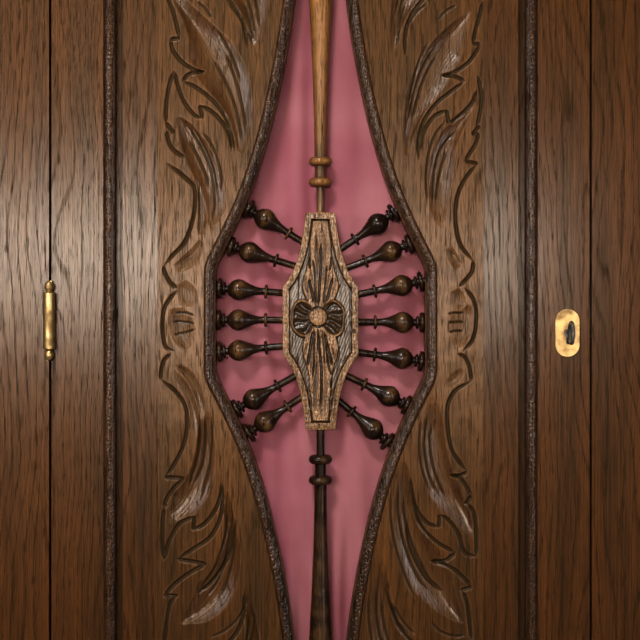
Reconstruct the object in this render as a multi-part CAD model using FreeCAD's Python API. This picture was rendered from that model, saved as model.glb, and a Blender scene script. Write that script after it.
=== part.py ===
# A single-door oak wardrobe with a pierced and carved door panel, turned spindles and a curtain.
# Lengths are in millimetres, angles in degrees.
# X runs to the viewer's right, Y to the back and Z up.
# The origin is on the floor, under the middle of the whole box.
import FreeCAD, Part
import math
import os

V = FreeCAD.Vector

# Whole case
case_width = 736.0
case_depth = 530.0
overall_height = 2000.0
foot_height = 70.0
cornice_height = 109.0
cornice_overhang = 46.0

# Fits and tool runs
joint_gap = 0.15
seat_gap = 0.3
turn_gap = 0.08
overrun = 5.0

# Posts and rails of the case
post_width = 70.0
post_depth = 50.0
rear_post_width = 50.0
base_rail_height = 125.0
frieze_rail_height = 70.0
side_thickness = 24.0
side_inset = 4.0
side_top_height = 90.0
side_middle_height = 80.0
side_bottom_height = 145.0
side_middle_share = 0.47
rear_rail_thickness = 24.0
rear_rail_height = 80.0
tenon_thickness = 9.0
tenon_length = 34.0
tenon_shoulder = 10.0
post_chamfer = 9.0
post_chamfer_end = 70.0

# Side panels and back boards
panel_groove = 8.0
panel_edge_thickness = 8.0
panel_field_rise = 6.0
panel_bevel = 36.0
back_board_thickness = 12.0
back_board_count = 5

# Boards inside the case
floor_thickness = 18.0
top_thickness = 12.0
shelf_thickness = 18.0
shelf_drop = 291.0
shelf_setback = 17.0
cleat_width = 24.0
cleat_height = 24.0
hanging_rail_radius = 12.5
hanging_rail_drop = 55.0
hanging_rail_share = 0.45
socket_width = 16.0
socket_length = 56.0
socket_floor = 14.0
socket_depth = 11.0

# Mouldings and feet
cornice_seat = 30.0
cornice_back_height = 80.0
cornice_back_thickness = 20.0
cornice_profile_shares = [(0.13, 0.0), (0.13, 0.09), (0.22, 0.09), (0.22, 0.15)]
cornice_cove_shares = [(0.36, 0.40), (0.80, 0.52)]
cornice_crown_shares = [(0.88, 0.52), (0.88, 0.60), (1.0, 0.74), (1.0, 1.0)]
base_moulding_height = 120.0
base_moulding_overhang = 20.0
base_plain_share = 0.72
base_curve_shares = [(0.62, 0.80), (0.30, 0.92)]
base_top_share = 0.25
foot_radius = 35.0
foot_inset = 36.0
foot_top_radius = 29.0
foot_flange = 9.0
foot_spigot_radius = 10.0
foot_spigot_length = 25.0
foot_bulge_shares = [(0.70, 0.0), (0.97, 0.20), (1.0, 0.42), (0.82, 0.66), (0.60, 0.78)]

# Pegs
peg_radius = 4.0
peg_length = 24.0
peg_head = 0.8
peg_inset = 17.0

# Door frame
door_gap = 2.5
stop_gap = 0.5
door_thickness = 28.0
stile_width = 57.0
door_rail_height = 95.0
door_tenon_length = 42.0
stop_width = 12.0
stop_thickness = 13.5

# Frame bead, quirk and flat bands round the panel
frame_bead_width = 13.0
frame_bead_rise = 3.0
quirk_width = 8.0
quirk_depth = 7.0
band_width = 38.5
panel_recess = 3.0
panel_thickness = 24.0
tongue_thickness = 8.0
tongue_length = 8.0
board_tongue = 6.0

# Pierced opening in the carved boards
waist_share = 0.64525
waist_straight = 52.0
shoulder_radius = 30.0
shoulder_angle = 27.0
tip_margin = 96.0
tip_radius = 9.0
flank_shares = [(0.739, 0.114), (0.494, 0.261), (0.313, 0.425), (0.190, 0.590), (0.086, 0.788)]
flank_stations = 12
opening_bead_width = 13.0
opening_bead_rise = 3.0
opening_bead_seat = 5.0
opening_bead_lip = 1.5
opening_bead_crest_share = 0.70
opening_bead_edge_share = 0.92

# Plaque
plaque_width_share = 0.3619
plaque_half_height = 119.6
plaque_waist = 37.4
plaque_end_share = 0.3876
plaque_flank_shares = [(0.66, 0.515), (0.57, 0.61)]
plaque_thickness = 22.0
plaque_setback = 2.0
plaque_rim = 7.7
plaque_field_depth = 3.0
plaque_button_radius = 10.0
plaque_button_height = 4.0
plaque_flower_radius = 23.0
plaque_flower_height = 2.0

# Small spindles
spindle_depth = 14.0
spindle_neck_radius = 3.9
spindle_neck_socket = 8.0
spindle_dowel_radius = 4.0
spindle_dowel_length = 10.0
spindle_collar_radius = 7.9
spindle_collar_width = 3.2
spindle_bulb_radius = 11.9
spindle_bulb_share = 0.5563
spindle_ring_radius = 7.5
spindle_ring_width = 3.0
spindle_disc_radius = 11.5
spindle_disc_width = 5.0
spindle_end_radius = 8.5
spindle_groove = 2.5
ring_round_share = 0.84
bulb_shares = [(0.0, 0.34), (0.22, 0.40), (0.48, 0.72), (0.71, 1.0), (0.88, 0.78), (1.0, 0.32)]
# Each row aims one spindle: a point near the plaque's edge and a point near the opening's edge,
# as shares of the plaque's half width and half height, and of the waist's half width and again
# the plaque's half height.
left_aim_shares = [
    (0.447, 0.727, 0.651, 1.015),
    (0.641, 0.505, 0.801, 0.672),
    (0.995, 0.261, 0.927, 0.299),
    (1.020, 0.009, 0.960, 0.009),
    (1.048, -0.235, 0.960, -0.288),
    (0.708, -0.517, 0.817, -0.822),
    (0.579, -0.723, 0.684, -1.036),
]
right_aim_shares = [
    (0.557, 0.672, 0.723, 1.015),
    (0.687, 0.489, 0.896, 0.727),
    (0.993, 0.246, 0.975, 0.368),
    (0.993, -0.009, 0.975, -0.014),
    (0.971, -0.288, 0.960, -0.373),
    (0.622, -0.494, 0.771, -0.753),
    (0.402, -0.716, 0.589, -1.074),
]

# Long spindles
long_neck_radius = 4.5
long_neck_length = 29.0
long_collar_radius = 13.0
long_collar_width = 10.0
long_drum_radius = 6.2
long_drum_length = 13.0
long_swell_radius = 13.4
long_ring_radius = 8.2
long_ring_width = 7.0
long_end_neck_share = 0.3392
long_end_radius = 4.0
long_end_socket = 15.0
shaft_shares = [(0.0, 0.51), (0.25, 0.565), (0.53, 0.74), (0.77, 0.945), (0.88, 1.0), (0.96, 0.82),
                (1.0, 0.33)]
collar_edge_share = 0.55

# Curtain, its rods and screw eyes
curtain_half_width = 226.0
curtain_thickness = 2.0
curtain_fold_depth = 4.0
curtain_overlap = 32.0
curtain_depth = 6.0
curtain_fold_shares = [1.0, 0.7, 0.95, 0.6, 1.0, 0.8, 0.65, 0.9, 0.75, 1.0, 0.6, 0.9, 0.7, 1.0]
curtain_foot_share = 0.7
rod_radius = 3.0
rod_overhang = 22.0
rod_knob_radius = 5.0
eye_wire_radius = 1.3
eye_shank_length = 12.0
eye_inset = 14.0

# Hinges
hinge_shares = [0.13, 0.5, 0.87]
hinge_radius = 6.5
hinge_half_length = 44.0
hinge_pin_radius = 3.0
hinge_pin_half_length = 25.0
hinge_leaf_thickness = 1.6
hinge_leaf_depth = 21.0
hinge_finial_length = 16.0
hinge_finial_radius = 5.0
hinge_neck_radius = 3.0

# Lock, bolt, key and plates
lock_depth = 45.0
lock_height = 70.0
lock_thickness = 12.0
lock_wall = 1.5
lock_face_thickness = 2.0
lock_face_width = 16.0
lock_face_height = 95.0
bolt_height = 18.0
bolt_thickness = 7.0
bolt_length = 34.0
bolt_throw = 12.0
bolt_rise = 3.0
key_drop = 13.0
key_radius = 3.0
key_bit_length = 12.0
key_bit_width = 3.0
key_bit_thickness = 6.0
key_shank_out = 14.0
key_collar_radius = 4.6
key_bow_radius = 11.0
key_bow_wire = 2.2
plate_width = 26.0
plate_height = 52.0
plate_thickness = 1.6
strike_height = 60.0
strike_width = 16.0
strike_thickness = 1.5

# Places worked out from the sizes above
half_width = case_width / 2
y_back = (case_depth + cornice_overhang) / 2
y_front = y_back - case_depth
z_top = overall_height - cornice_height
shelf_height = z_top - shelf_drop
x_opening = half_width - post_width
rail_depth = door_thickness + stop_gap
z_base_rail = foot_height + base_rail_height
z_frieze_rail = z_top - frieze_rail_height
y_post_back = y_front + post_depth
y_rear_post = y_back - post_depth
x_side_out = half_width - side_inset
x_side_in = x_side_out - side_thickness
y_boards = y_back - back_board_thickness
y_rear_rail = y_boards - rear_rail_thickness

door_half = x_opening - door_gap
z_door_low = z_base_rail + door_gap
z_door_high = z_frieze_rail - door_gap
z_mid = (z_door_low + z_door_high) / 2
door_half_height = (z_door_high - z_door_low) / 2
y_door_back = y_front + door_thickness
frame_x = door_half - stile_width
frame_z = door_half_height - door_rail_height
bead_x = frame_x - frame_bead_width
bead_z = frame_z - frame_bead_width
band_x = bead_x - quirk_width
band_z = bead_z - quirk_width
board_x = band_x - band_width
board_z = band_z - band_width
waist_half_width = board_x * waist_share
plaque_half_width = waist_half_width * plaque_width_share
plaque_end_half_width = plaque_half_width * plaque_end_share
spindle_bulb_length = (waist_half_width - plaque_half_width) * spindle_bulb_share
tip_half_height = board_z - tip_margin
curtain_half_height = tip_half_height + curtain_overlap
y_panel = y_front + panel_recess
y_panel_back = y_panel + panel_thickness
y_tongue = y_panel + quirk_depth
y_spindle = y_panel + spindle_depth
y_rod = y_door_back + curtain_depth

nodes = {}


def keep(name, *shapes):
    """Keep one node: a single solid, or a group of separate solids."""
    solids = []
    for shape in shapes:
        solids.extend(shape.Solids)
    nodes[name] = solids[0] if len(solids) == 1 else Part.makeCompound(solids)


def block(x0, x1, y0, y1, z0, z1):
    """A straight block between two corners."""
    return Part.makeBox(x1 - x0, y1 - y0, z1 - z0, V(x0, y0, z0))


def mortise(x0, x1, y0, y1, z0, z1):
    """The space that a block needs to fit in, one joint gap larger all round."""
    g = joint_gap
    return block(x0 - g, x1 + g, y0 - g, y1 + g, z0 - g, z1 + g)


def rod(radius, length, start, direction):
    """A round rod or drill."""
    return Part.makeCylinder(radius, length, start, direction)


def mirrored(shape):
    """The same piece on the other side of the middle."""
    return shape.mirror(V(0, 0, 0), V(1, 0, 0))


def joined(first, *others):
    """One solid out of touching solids."""
    return first.fuse(list(others)).removeSplitter()


def carved_away(shape, tools):
    """A piece with a list of spaces taken out of it."""
    return shape.cut(tools) if tools else shape


def turned(edges):
    """A lathe-turned solid from a profile of edges above the X axis, closed along the axis."""
    wire = Part.Wire(edges)
    first = wire.OrderedVertexes[0].Point
    last = wire.OrderedVertexes[-1].Point
    close = []
    if last.z > 0:
        close.append(Part.makeLine(last, V(last.x, 0, 0)))
    close.append(Part.makeLine(V(last.x, 0, 0), V(first.x, 0, 0)))
    if first.z > 0:
        close.append(Part.makeLine(V(first.x, 0, 0), first))
    face = Part.Face(Part.Wire(edges + close))
    return face.revolve(V(0, 0, 0), V(1, 0, 0), 360)


def line(x0, r0, x1, r1):
    """A straight stretch of a turned profile."""
    return Part.makeLine(V(x0, 0, r0), V(x1, 0, r1))


def hollow(x0, r0, xm, rm, x1, r1):
    """A round stretch of a turned profile, through a middle point."""
    return Part.Arc(V(x0, 0, r0), V(xm, 0, rm), V(x1, 0, r1)).toShape()


def flowing(points):
    """A flowing stretch of a turned profile through all its points."""
    curve = Part.BSplineCurve()
    curve.interpolate([V(x, 0, r) for x, r in points])
    return curve.toShape()


def ring_edges(x0, x1, r_before, radius, r_after, edge_share):
    """A raised ring on a turned piece: up, over a round top, and down."""
    edge = radius * edge_share
    return [
        line(x0, r_before, x0, edge),
        hollow(x0, edge, (x0 + x1) / 2, radius, x1, edge),
        line(x1, edge, x1, r_after),
    ]


def placed(shape, start, direction):
    """A piece made along the X axis, moved so that it starts at a point and runs in a direction."""
    moved = shape.copy()
    turn = FreeCAD.Rotation(V(1, 0, 0), direction)
    moved.Placement = FreeCAD.Placement(start, turn)
    return moved


def front_sweep(profile):
    """A moulding carried round the left side, the front and the right side, with mitred corners."""
    corners = [V(-half_width, y_back, 0), V(-half_width, y_front, 0),
               V(half_width, y_front, 0), V(half_width, y_back, 0)]
    path = Part.makePolygon(corners)
    return path.makePipeShell([profile], True, False, 1)


# Case frame

def side_rail_levels():
    """The low and high edge of each side rail, from the bottom up."""
    middle = foot_height + (z_top - foot_height) * side_middle_share
    return [
        (foot_height, foot_height + side_bottom_height),
        (middle, middle + side_middle_height),
        (z_top - side_top_height, z_top),
    ]


def side_panel_boxes():
    """The thin body of each side panel, with its edges in the grooves."""
    levels = side_rail_levels()
    x_mid = (x_side_in + x_side_out) / 2
    half = panel_edge_thickness / 2
    boxes = []
    for below, above in zip(levels, levels[1:]):
        boxes.append((x_mid - half, x_mid + half,
                      y_post_back - panel_groove, y_rear_post + panel_groove,
                      below[1] - panel_groove, above[0] + panel_groove))
    return boxes


def side_tenon_boxes():
    """The tenons at the front and rear ends of the side rails."""
    x_mid = (x_side_in + x_side_out) / 2
    half = tenon_thickness / 2
    boxes = []
    for low, high in side_rail_levels():
        z0 = low + tenon_shoulder
        z1 = high - tenon_shoulder
        boxes.append((x_mid - half, x_mid + half, y_post_back - tenon_length, y_post_back, z0, z1))
        boxes.append((x_mid - half, x_mid + half, y_rear_post, y_rear_post + tenon_length, z0, z1))
    return boxes


def front_tenon_boxes():
    """The tenons of the frieze rail and the base rail, on the right side."""
    y_mid = y_front + rail_depth / 2
    half = tenon_thickness / 2
    boxes = []
    for low, high in ((foot_height, z_base_rail), (z_frieze_rail, z_top)):
        boxes.append((x_opening, x_opening + tenon_length, y_mid - half, y_mid + half,
                      low + tenon_shoulder, high - tenon_shoulder))
    return boxes


def side_pegs(radius):
    """The pegs through the side rails' tenons on the right side, driven in from outside."""
    pegs = []
    y_front_peg = y_post_back - tenon_length / 2
    y_rear_peg = y_rear_post + tenon_length / 2
    moulding_top = foot_height + base_moulding_height
    for low, high in side_rail_levels():
        for z in (low + peg_inset, high - peg_inset):
            if z - peg_radius < moulding_top:
                continue
            for y in (y_front_peg, y_rear_peg):
                start = V(half_width - peg_length, y, z)
                pegs.append(rod(radius, peg_length + peg_head, start, V(1, 0, 0)))
    return pegs


def front_pegs(radius):
    """The pegs through the frieze rail's tenon on the right side."""
    x = x_opening + tenon_length / 2
    pegs = []
    for z in (z_frieze_rail + peg_inset, z_top - peg_inset):
        start = V(x, y_front - peg_head, z)
        pegs.append(rod(radius, peg_length + peg_head, start, V(0, 1, 0)))
    return pegs


def foot_place(rear):
    """The axis of a foot on the right side."""
    y = y_back - foot_inset if rear else y_front + foot_inset
    return V(half_width - foot_inset, y, 0)


def stopped_chamfer():
    """The wedge taken off the front post's outer edge, stopped short of both ends."""
    low = foot_height + base_moulding_height + post_chamfer_end
    high = z_top - post_chamfer_end
    corners = [V(half_width - post_chamfer, y_front, low), V(half_width, y_front, low),
               V(half_width, y_front + post_chamfer, low)]
    face = Part.Face(Part.makePolygon(corners + corners[:1]))
    return face.extrude(V(0, 0, high - low))


def make_posts():
    """The four corner posts, with mortises, panel grooves, peg holes and spigot holes."""
    side_spaces = [mortise(*box) for box in side_tenon_boxes() + side_panel_boxes()]
    side_spaces += side_pegs(peg_radius + joint_gap)
    spigot = foot_spigot_radius + joint_gap
    reach = foot_spigot_length + joint_gap
    up = V(0, 0, 1)

    front = block(x_opening, half_width, y_front, y_post_back, foot_height, z_top)
    spaces = side_spaces + [mortise(*box) for box in front_tenon_boxes()]
    spaces += front_pegs(peg_radius + joint_gap)
    spaces.append(rod(spigot, reach, foot_place(False) + V(0, 0, foot_height), up))
    spaces.append(stopped_chamfer())
    front = carved_away(front, spaces)

    rear = block(half_width - rear_post_width, half_width, y_rear_post, y_back, foot_height, z_top)
    rear = carved_away(rear, side_spaces + rear_rail_spaces()
                       + [rod(spigot, reach, foot_place(True) + V(0, 0, foot_height), up)])

    left = carved_away(mirrored(front), hinge_recesses(-x_opening - hinge_leaf_thickness, -x_opening))
    right = carved_away(front, strike_spaces())
    keep("front_post_left", left)
    keep("front_post_right", right)
    keep("rear_posts", mirrored(rear), rear)


def rear_rail_levels():
    """The low edge of each rear rail; the lowest one carries the floor board."""
    middle = foot_height + (z_top - foot_height) * side_middle_share
    return [z_base_rail - floor_thickness - rear_rail_height, middle, z_top - rear_rail_height]


def rear_tenon_boxes():
    """The rear rails' tenons on the right side."""
    x = half_width - rear_post_width
    y_mid = y_rear_rail + rear_rail_thickness / 2
    half = tenon_thickness / 2
    return [(x, x + tenon_length / 2, y_mid - half, y_mid + half,
             low + tenon_shoulder, low + rear_rail_height - tenon_shoulder)
            for low in rear_rail_levels()]


def rear_rail_spaces():
    """The mortises for the rear rails in the right rear post."""
    return [mortise(*box) for box in rear_tenon_boxes()]


def make_side_frames():
    """Rails and fielded panels of both sides."""
    rails = []
    spaces = [mortise(*box) for box in side_panel_boxes()] + side_pegs(peg_radius + joint_gap)
    tenons = side_tenon_boxes()
    for index, (low, high) in enumerate(side_rail_levels()):
        body = block(x_side_in, x_side_out, y_post_back, y_rear_post, low, high)
        ends = [block(*box) for box in tenons[2 * index:2 * index + 2]]
        rails.append(carved_away(joined(body, *ends), spaces))
    keep("side_rails", *rails, *[mirrored(rail) for rail in rails])

    panels = []
    for x0, x1, y0, y1, z0, z1 in side_panel_boxes():
        thin = block(x0, x1, y0, y1, z0, z1)
        inner = panel_groove + joint_gap
        panels.append(joined(thin, fielded(x1, y0 + inner, y1 - inner, z0 + inner, z1 - inner)))
    keep("side_panels", *panels, *[mirrored(panel) for panel in panels])


def fielded(x, y0, y1, z0, z1):
    """The raised field of a panel: a low block with bevelled sides, standing on the plane x."""
    low = [V(x, y0, z0), V(x, y1, z0), V(x, y1, z1), V(x, y0, z1)]
    b = panel_bevel
    top = x + panel_field_rise
    high = [V(top, y0 + b, z0 + b), V(top, y1 - b, z0 + b),
            V(top, y1 - b, z1 - b), V(top, y0 + b, z1 - b)]
    wires = [Part.makePolygon(ring + ring[:1]) for ring in (low, high)]
    return Part.makeLoft(wires, True, True)


def make_front_and_rear_rails():
    """The frieze rail, the base rail and the three rear rails."""
    tenons = [block(*box) for box in front_tenon_boxes()]
    holes = front_pegs(peg_radius + joint_gap)
    holes += [mirrored(hole) for hole in holes]
    base = block(-x_opening, x_opening, y_front, y_front + rail_depth, foot_height, z_base_rail)
    keep("base_rail", joined(base, tenons[0], mirrored(tenons[0])))
    frieze = block(-x_opening, x_opening, y_front, y_front + rail_depth, z_frieze_rail, z_top)
    keep("frieze_rail", carved_away(joined(frieze, tenons[1], mirrored(tenons[1])), holes))

    x = half_width - rear_post_width
    rails = []
    for low, box in zip(rear_rail_levels(), rear_tenon_boxes()):
        body = block(-x, x, y_rear_rail, y_boards, low, low + rear_rail_height)
        end = block(*box)
        rails.append(joined(body, end, mirrored(end)))
    keep("rear_rails", *rails)


def make_boards():
    """Back boards, floor board, top board, hat shelf and the cleats under them."""
    x = half_width - rear_post_width
    width = 2 * x / back_board_count
    backs = []
    for index in range(back_board_count):
        x0 = -x + index * width + seat_gap
        backs.append(block(x0, x0 + width - 2 * seat_gap, y_boards, y_back, foot_height, z_top))
    keep("back_boards", *backs)

    x_in = x_side_in - seat_gap
    y_floor = y_front + rail_depth
    floor = block(-x_in, x_in, y_floor, y_boards - seat_gap,
                  z_base_rail - floor_thickness, z_base_rail)
    corners = [mortise(x_opening, half_width, y_front, y_post_back, foot_height, z_top),
               mortise(half_width - rear_post_width, half_width, y_rear_post, y_back,
                       foot_height, z_top)]
    corners += [mirrored(corner) for corner in corners]
    keep("floor_board", carved_away(floor, corners))

    x_top = half_width - cornice_seat - seat_gap
    y_top = y_front + cornice_seat + seat_gap
    y_top_back = y_back - cornice_back_thickness - seat_gap
    keep("top_board", block(-x_top, x_top, y_top, y_top_back, z_top, z_top + top_thickness))

    y_shelf = y_post_back + shelf_setback
    keep("hat_shelf", block(-x_in, x_in, y_shelf, y_rear_post - seat_gap,
                            shelf_height, shelf_height + shelf_thickness))

    cleats = []
    for z in (z_base_rail - floor_thickness, shelf_height):
        cleats.append(block(x_side_in - cleat_width, x_side_in, y_post_back, y_rear_post,
                            z - cleat_height, z))
    keep("shelf_cleats", *cleats, *[mirrored(cleat) for cleat in cleats])


def make_hanging_rail():
    """The clothes rail and the two wooden sockets that hold it under the shelf."""
    y = y_post_back + (y_rear_post - y_post_back) * hanging_rail_share
    z = shelf_height - hanging_rail_drop
    x_out = x_side_in - cleat_width
    x_in = x_out - socket_width
    end = x_in + socket_depth
    keep("hanging_rail", rod(hanging_rail_radius, 2 * end, V(-end, y, z), V(1, 0, 0)))
    low = z - hanging_rail_radius - socket_floor
    socket = block(x_in, x_out, y - socket_length / 2, y + socket_length / 2, low, shelf_height)
    bore = rod(hanging_rail_radius + joint_gap, socket_depth + joint_gap + overrun,
               V(x_in - overrun, y, z), V(1, 0, 0))
    socket = socket.cut(bore)
    keep("rail_sockets", mirrored(socket), socket)


# Mouldings and feet

def profile_point(share_out, share_up, overhang, low, height):
    """A point of a moulding's profile, at the left rear end of its path."""
    return V(-half_width - share_out * overhang, y_back, low + share_up * height)


def make_cornice():
    """The cornice: a stepped cove and crown, and a plain board across the back."""
    def at(share):
        return profile_point(share[0], share[1], cornice_overhang, z_top, cornice_height)

    steps = [at(share) for share in cornice_profile_shares]
    cove = [at(share) for share in cornice_cove_shares]
    crown = [at(share) for share in cornice_crown_shares]
    seat = V(-half_width + cornice_seat, y_back, z_top)
    seat_top = V(seat.x, y_back, overall_height)
    edges = [Part.makeLine(seat, steps[0])]
    edges += [Part.makeLine(a, b) for a, b in zip(steps, steps[1:])]
    edges.append(Part.Arc(steps[-1], cove[0], cove[1]).toShape())
    edges.append(Part.makeLine(cove[1], crown[0]))
    edges += [Part.makeLine(a, b) for a, b in zip(crown, crown[1:])]
    edges += [Part.makeLine(crown[-1], seat_top), Part.makeLine(seat_top, seat)]
    x = half_width - cornice_seat
    back = block(-x, x, y_back - cornice_back_thickness, y_back, z_top, z_top + cornice_back_height)
    keep("cornice", front_sweep(Part.Wire(edges)), back)


def make_base_moulding():
    """The plinth moulding: a plain face with a flowing top edge."""
    def at(out, up):
        return profile_point(out, up, base_moulding_overhang, foot_height, base_moulding_height)

    face_top = at(1, base_plain_share)
    curve = Part.BSplineCurve()
    curve.interpolate([face_top] + [at(*share) for share in base_curve_shares]
                      + [at(base_top_share, 1)])
    corners = [at(base_top_share, 1), at(0, 1), at(0, 0), at(1, 0), face_top]
    edges = [curve.toShape()] + [Part.makeLine(a, b) for a, b in zip(corners, corners[1:])]
    keep("base_moulding", front_sweep(Part.Wire(edges)))


def make_feet():
    """Four turned bun feet, each with a spigot up into its post."""
    flange = foot_height - foot_flange
    points = [(up * foot_height, out * foot_radius) for out, up in foot_bulge_shares]
    top = foot_height + foot_spigot_length
    edges = [
        flowing(points),
        line(points[-1][0], points[-1][1], flange, foot_top_radius),
        line(flange, foot_top_radius, foot_height, foot_top_radius),
        line(foot_height, foot_top_radius, foot_height, foot_spigot_radius),
        line(foot_height, foot_spigot_radius, top, foot_spigot_radius),
    ]
    foot = turned(edges)
    feet = [placed(foot, foot_place(rear), V(0, 0, 1)) for rear in (False, True)]
    keep("feet", *feet, *[mirrored(one) for one in feet])


# Door frame

def tongue_box(half_x, half_z, thickness):
    """The thin tongue all round the panel, from the quirk's floor to behind it."""
    return (-half_x, half_x, y_tongue, y_tongue + thickness, z_mid - half_z, z_mid + half_z)


def door_tenon_boxes():
    """The door rails' tenons on the right side, bottom then top."""
    half = tenon_thickness / 2
    y_mid = y_front + door_thickness / 2
    boxes = []
    for low in (z_door_low, z_door_high - door_rail_height):
        boxes.append((frame_x, frame_x + door_tenon_length, y_mid - half, y_mid + half,
                      low + tenon_shoulder, low + door_rail_height - tenon_shoulder))
    return boxes


def door_pegs(radius, length):
    """The pegs through the door rails' tenons on the right side."""
    x = frame_x + door_tenon_length / 2
    pegs = []
    for low in (z_door_low, z_door_high - door_rail_height):
        for z in (low + peg_inset, low + door_rail_height - peg_inset):
            pegs.append(rod(radius, length, V(x, y_front - peg_head, z), V(0, 1, 0)))
    return pegs


def make_door_frame():
    """Stiles and rails, grooved for the panel, with pegged tenons."""
    length = door_thickness + 2 * peg_head
    pegs = door_pegs(peg_radius, length)
    holes = door_pegs(peg_radius + joint_gap, length)
    groove = mortise(*tongue_box(frame_x + tongue_length, frame_z + tongue_length,
                                 tongue_thickness))
    stile = block(frame_x, door_half, y_front, y_door_back, z_door_low, z_door_high)
    spaces = [mortise(*box) for box in door_tenon_boxes()] + holes + [groove]
    stile = carved_away(stile, spaces + eye_spaces())
    keep("door_stile_hinge", carved_away(mirrored(stile), hinge_recesses(
        -door_half, -door_half + hinge_leaf_thickness)))
    keep("door_stile_lock", carved_away(stile, lock_spaces()))
    keep("door_pegs", *pegs, *[mirrored(peg) for peg in pegs])

    rails = []
    holes += [mirrored(hole) for hole in holes]
    for low, box in zip((z_door_low, z_door_high - door_rail_height), door_tenon_boxes()):
        body = block(-frame_x, frame_x, y_front, y_door_back, low, low + door_rail_height)
        end = block(*box)
        rails.append(carved_away(joined(body, end, mirrored(end)), holes + [groove]))
    keep("door_rails", *rails)


def make_door_stops():
    """Strips that the door closes against: on the lock post, the frieze rail and the floor."""
    y0 = y_front + rail_depth
    y1 = y0 + stop_thickness
    x_in = x_opening - stop_width
    lock = block(x_in, x_opening, y0, y1, z_base_rail + stop_width, z_frieze_rail - stop_width)
    top = block(-x_in, x_opening, y0, y1, z_frieze_rail - stop_width, z_frieze_rail + stop_width)
    bottom = block(-x_in, x_opening, y0, y1, z_base_rail, z_base_rail + stop_width)
    keep("door_stops", lock, top, bottom)


def make_frame_bead():
    """The bead round the inside of the door frame: four mitred bars with a round face."""
    y_floor = y_tongue
    y_face = y_front
    y_crest = y_front - frame_bead_rise

    def bar(half_length, half_across):
        """One bar along Z, its inner edge towards the middle, mitred at both ends."""
        inner = half_across - frame_bead_width
        profile = Part.Wire([
            Part.makeLine(V(half_across, y_face, 0), V(half_across, y_floor, 0)),
            Part.makeLine(V(half_across, y_floor, 0), V(inner, y_floor, 0)),
            Part.makeLine(V(inner, y_floor, 0), V(inner, y_face, 0)),
            Part.Arc(V(inner, y_face, 0), V((inner + half_across) / 2, y_crest, 0),
                     V(half_across, y_face, 0)).toShape(),
        ])
        stick = Part.Face(profile).extrude(V(0, 0, 2 * half_length))
        stick.translate(V(0, 0, -half_length))
        inner_length = half_length - frame_bead_width
        trim = Part.makePolygon([
            V(inner, 0, -inner_length), V(half_across, 0, -half_length),
            V(half_across, 0, half_length), V(inner, 0, inner_length),
            V(inner, 0, -inner_length)])
        cutter = Part.Face(trim).extrude(V(0, y_floor - y_crest, 0))
        cutter.translate(V(0, y_crest, 0))
        return stick.common(cutter)

    middle = V(0, 0, z_mid)
    upright = bar(frame_z, frame_x).translated(middle)
    level = bar(frame_x, frame_z)
    top = level.rotated(V(0, 0, 0), V(0, 1, 0), -90).translated(middle)
    bottom = level.rotated(V(0, 0, 0), V(0, 1, 0), 90).translated(middle)
    keep("frame_bead", upright, mirrored(upright), top, bottom)


def make_panel_bands():
    """The flat bands round the carved boards, with a tongue behind the quirk and the bead."""
    groove = tongue_box(board_x + board_tongue, board_z + board_tongue, tongue_thickness)
    outer_x = frame_x + tongue_length
    outer_z = frame_z + tongue_length
    y1 = y_tongue + tongue_thickness
    side = joined(
        block(board_x, band_x, y_panel, y_panel_back, z_mid - band_z, z_mid + band_z),
        block(board_x, outer_x, y_tongue, y1, z_mid - outer_z, z_mid + outer_z))
    side = side.cut(mortise(*groove))
    top = joined(
        block(-board_x, board_x, y_panel, y_panel_back, z_mid + board_z, z_mid + band_z),
        block(-board_x, board_x, y_tongue, y1, z_mid + board_z, z_mid + outer_z))
    top = top.cut(mortise(*groove))
    bottom = top.mirror(V(0, 0, z_mid), V(0, 0, 1))
    keep("panel_bands", mirrored(side), side, top, bottom)


# Pierced opening, carved boards and opening beads

def flank_curve():
    """The long hollow flank of the opening, upper left, from the shoulder to the tip."""
    angle = math.radians(shoulder_angle)
    start = V(-(waist_half_width - shoulder_radius) - shoulder_radius * math.cos(angle), 0,
              waist_straight + shoulder_radius * math.sin(angle))
    end = V(-tip_radius, 0, tip_half_height - tip_radius)
    middle = [V(end.x + across * (start.x - end.x), 0, start.z + up * (end.z - start.z))
              for across, up in flank_shares]
    curve = Part.BSplineCurve()
    curve.interpolate([start] + middle + [end],
                      InitialTangent=V(math.sin(angle), 0, math.cos(angle)),
                      FinalTangent=V(0, 0, 1))
    return curve


def opening_edges(offset):
    """The left half of the opening's outline, from top to bottom, moved outward by offset."""
    curve = flank_curve()
    stations = []
    for index in range(flank_stations + 1):
        where = curve.FirstParameter
        where += (curve.LastParameter - curve.FirstParameter) * index / flank_stations
        along = curve.tangent(where)[0]
        stations.append(curve.value(where) + V(-along.z, 0, along.x) * offset)
    flank = Part.BSplineCurve()
    angle = math.radians(shoulder_angle)
    flank.interpolate(stations, InitialTangent=V(math.sin(angle), 0, math.cos(angle)),
                      FinalTangent=V(0, 0, 1))

    tip = tip_radius + offset
    centre = tip_half_height - tip_radius
    slant = math.sqrt(0.5)
    tip_arc = Part.Arc(V(0, 0, centre + tip), V(-tip * slant, 0, centre + tip * slant),
                       V(-tip, 0, centre))
    radius = shoulder_radius + offset
    x_centre = shoulder_radius - waist_half_width

    def on_shoulder(turn):
        return V(x_centre - radius * math.cos(turn), 0, waist_straight + radius * math.sin(turn))

    shoulder = Part.Arc(on_shoulder(angle), on_shoulder(angle / 2), on_shoulder(0))
    upper = [tip_arc.toShape(), flank.toShape(), shoulder.toShape()]
    lower = [edge.mirror(V(0, 0, 0), V(0, 0, 1)) for edge in upper]
    side = -waist_half_width - offset
    upright = Part.makeLine(V(side, 0, waist_straight), V(side, 0, -waist_straight))
    return upper + [upright] + lower[::-1]


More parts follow.
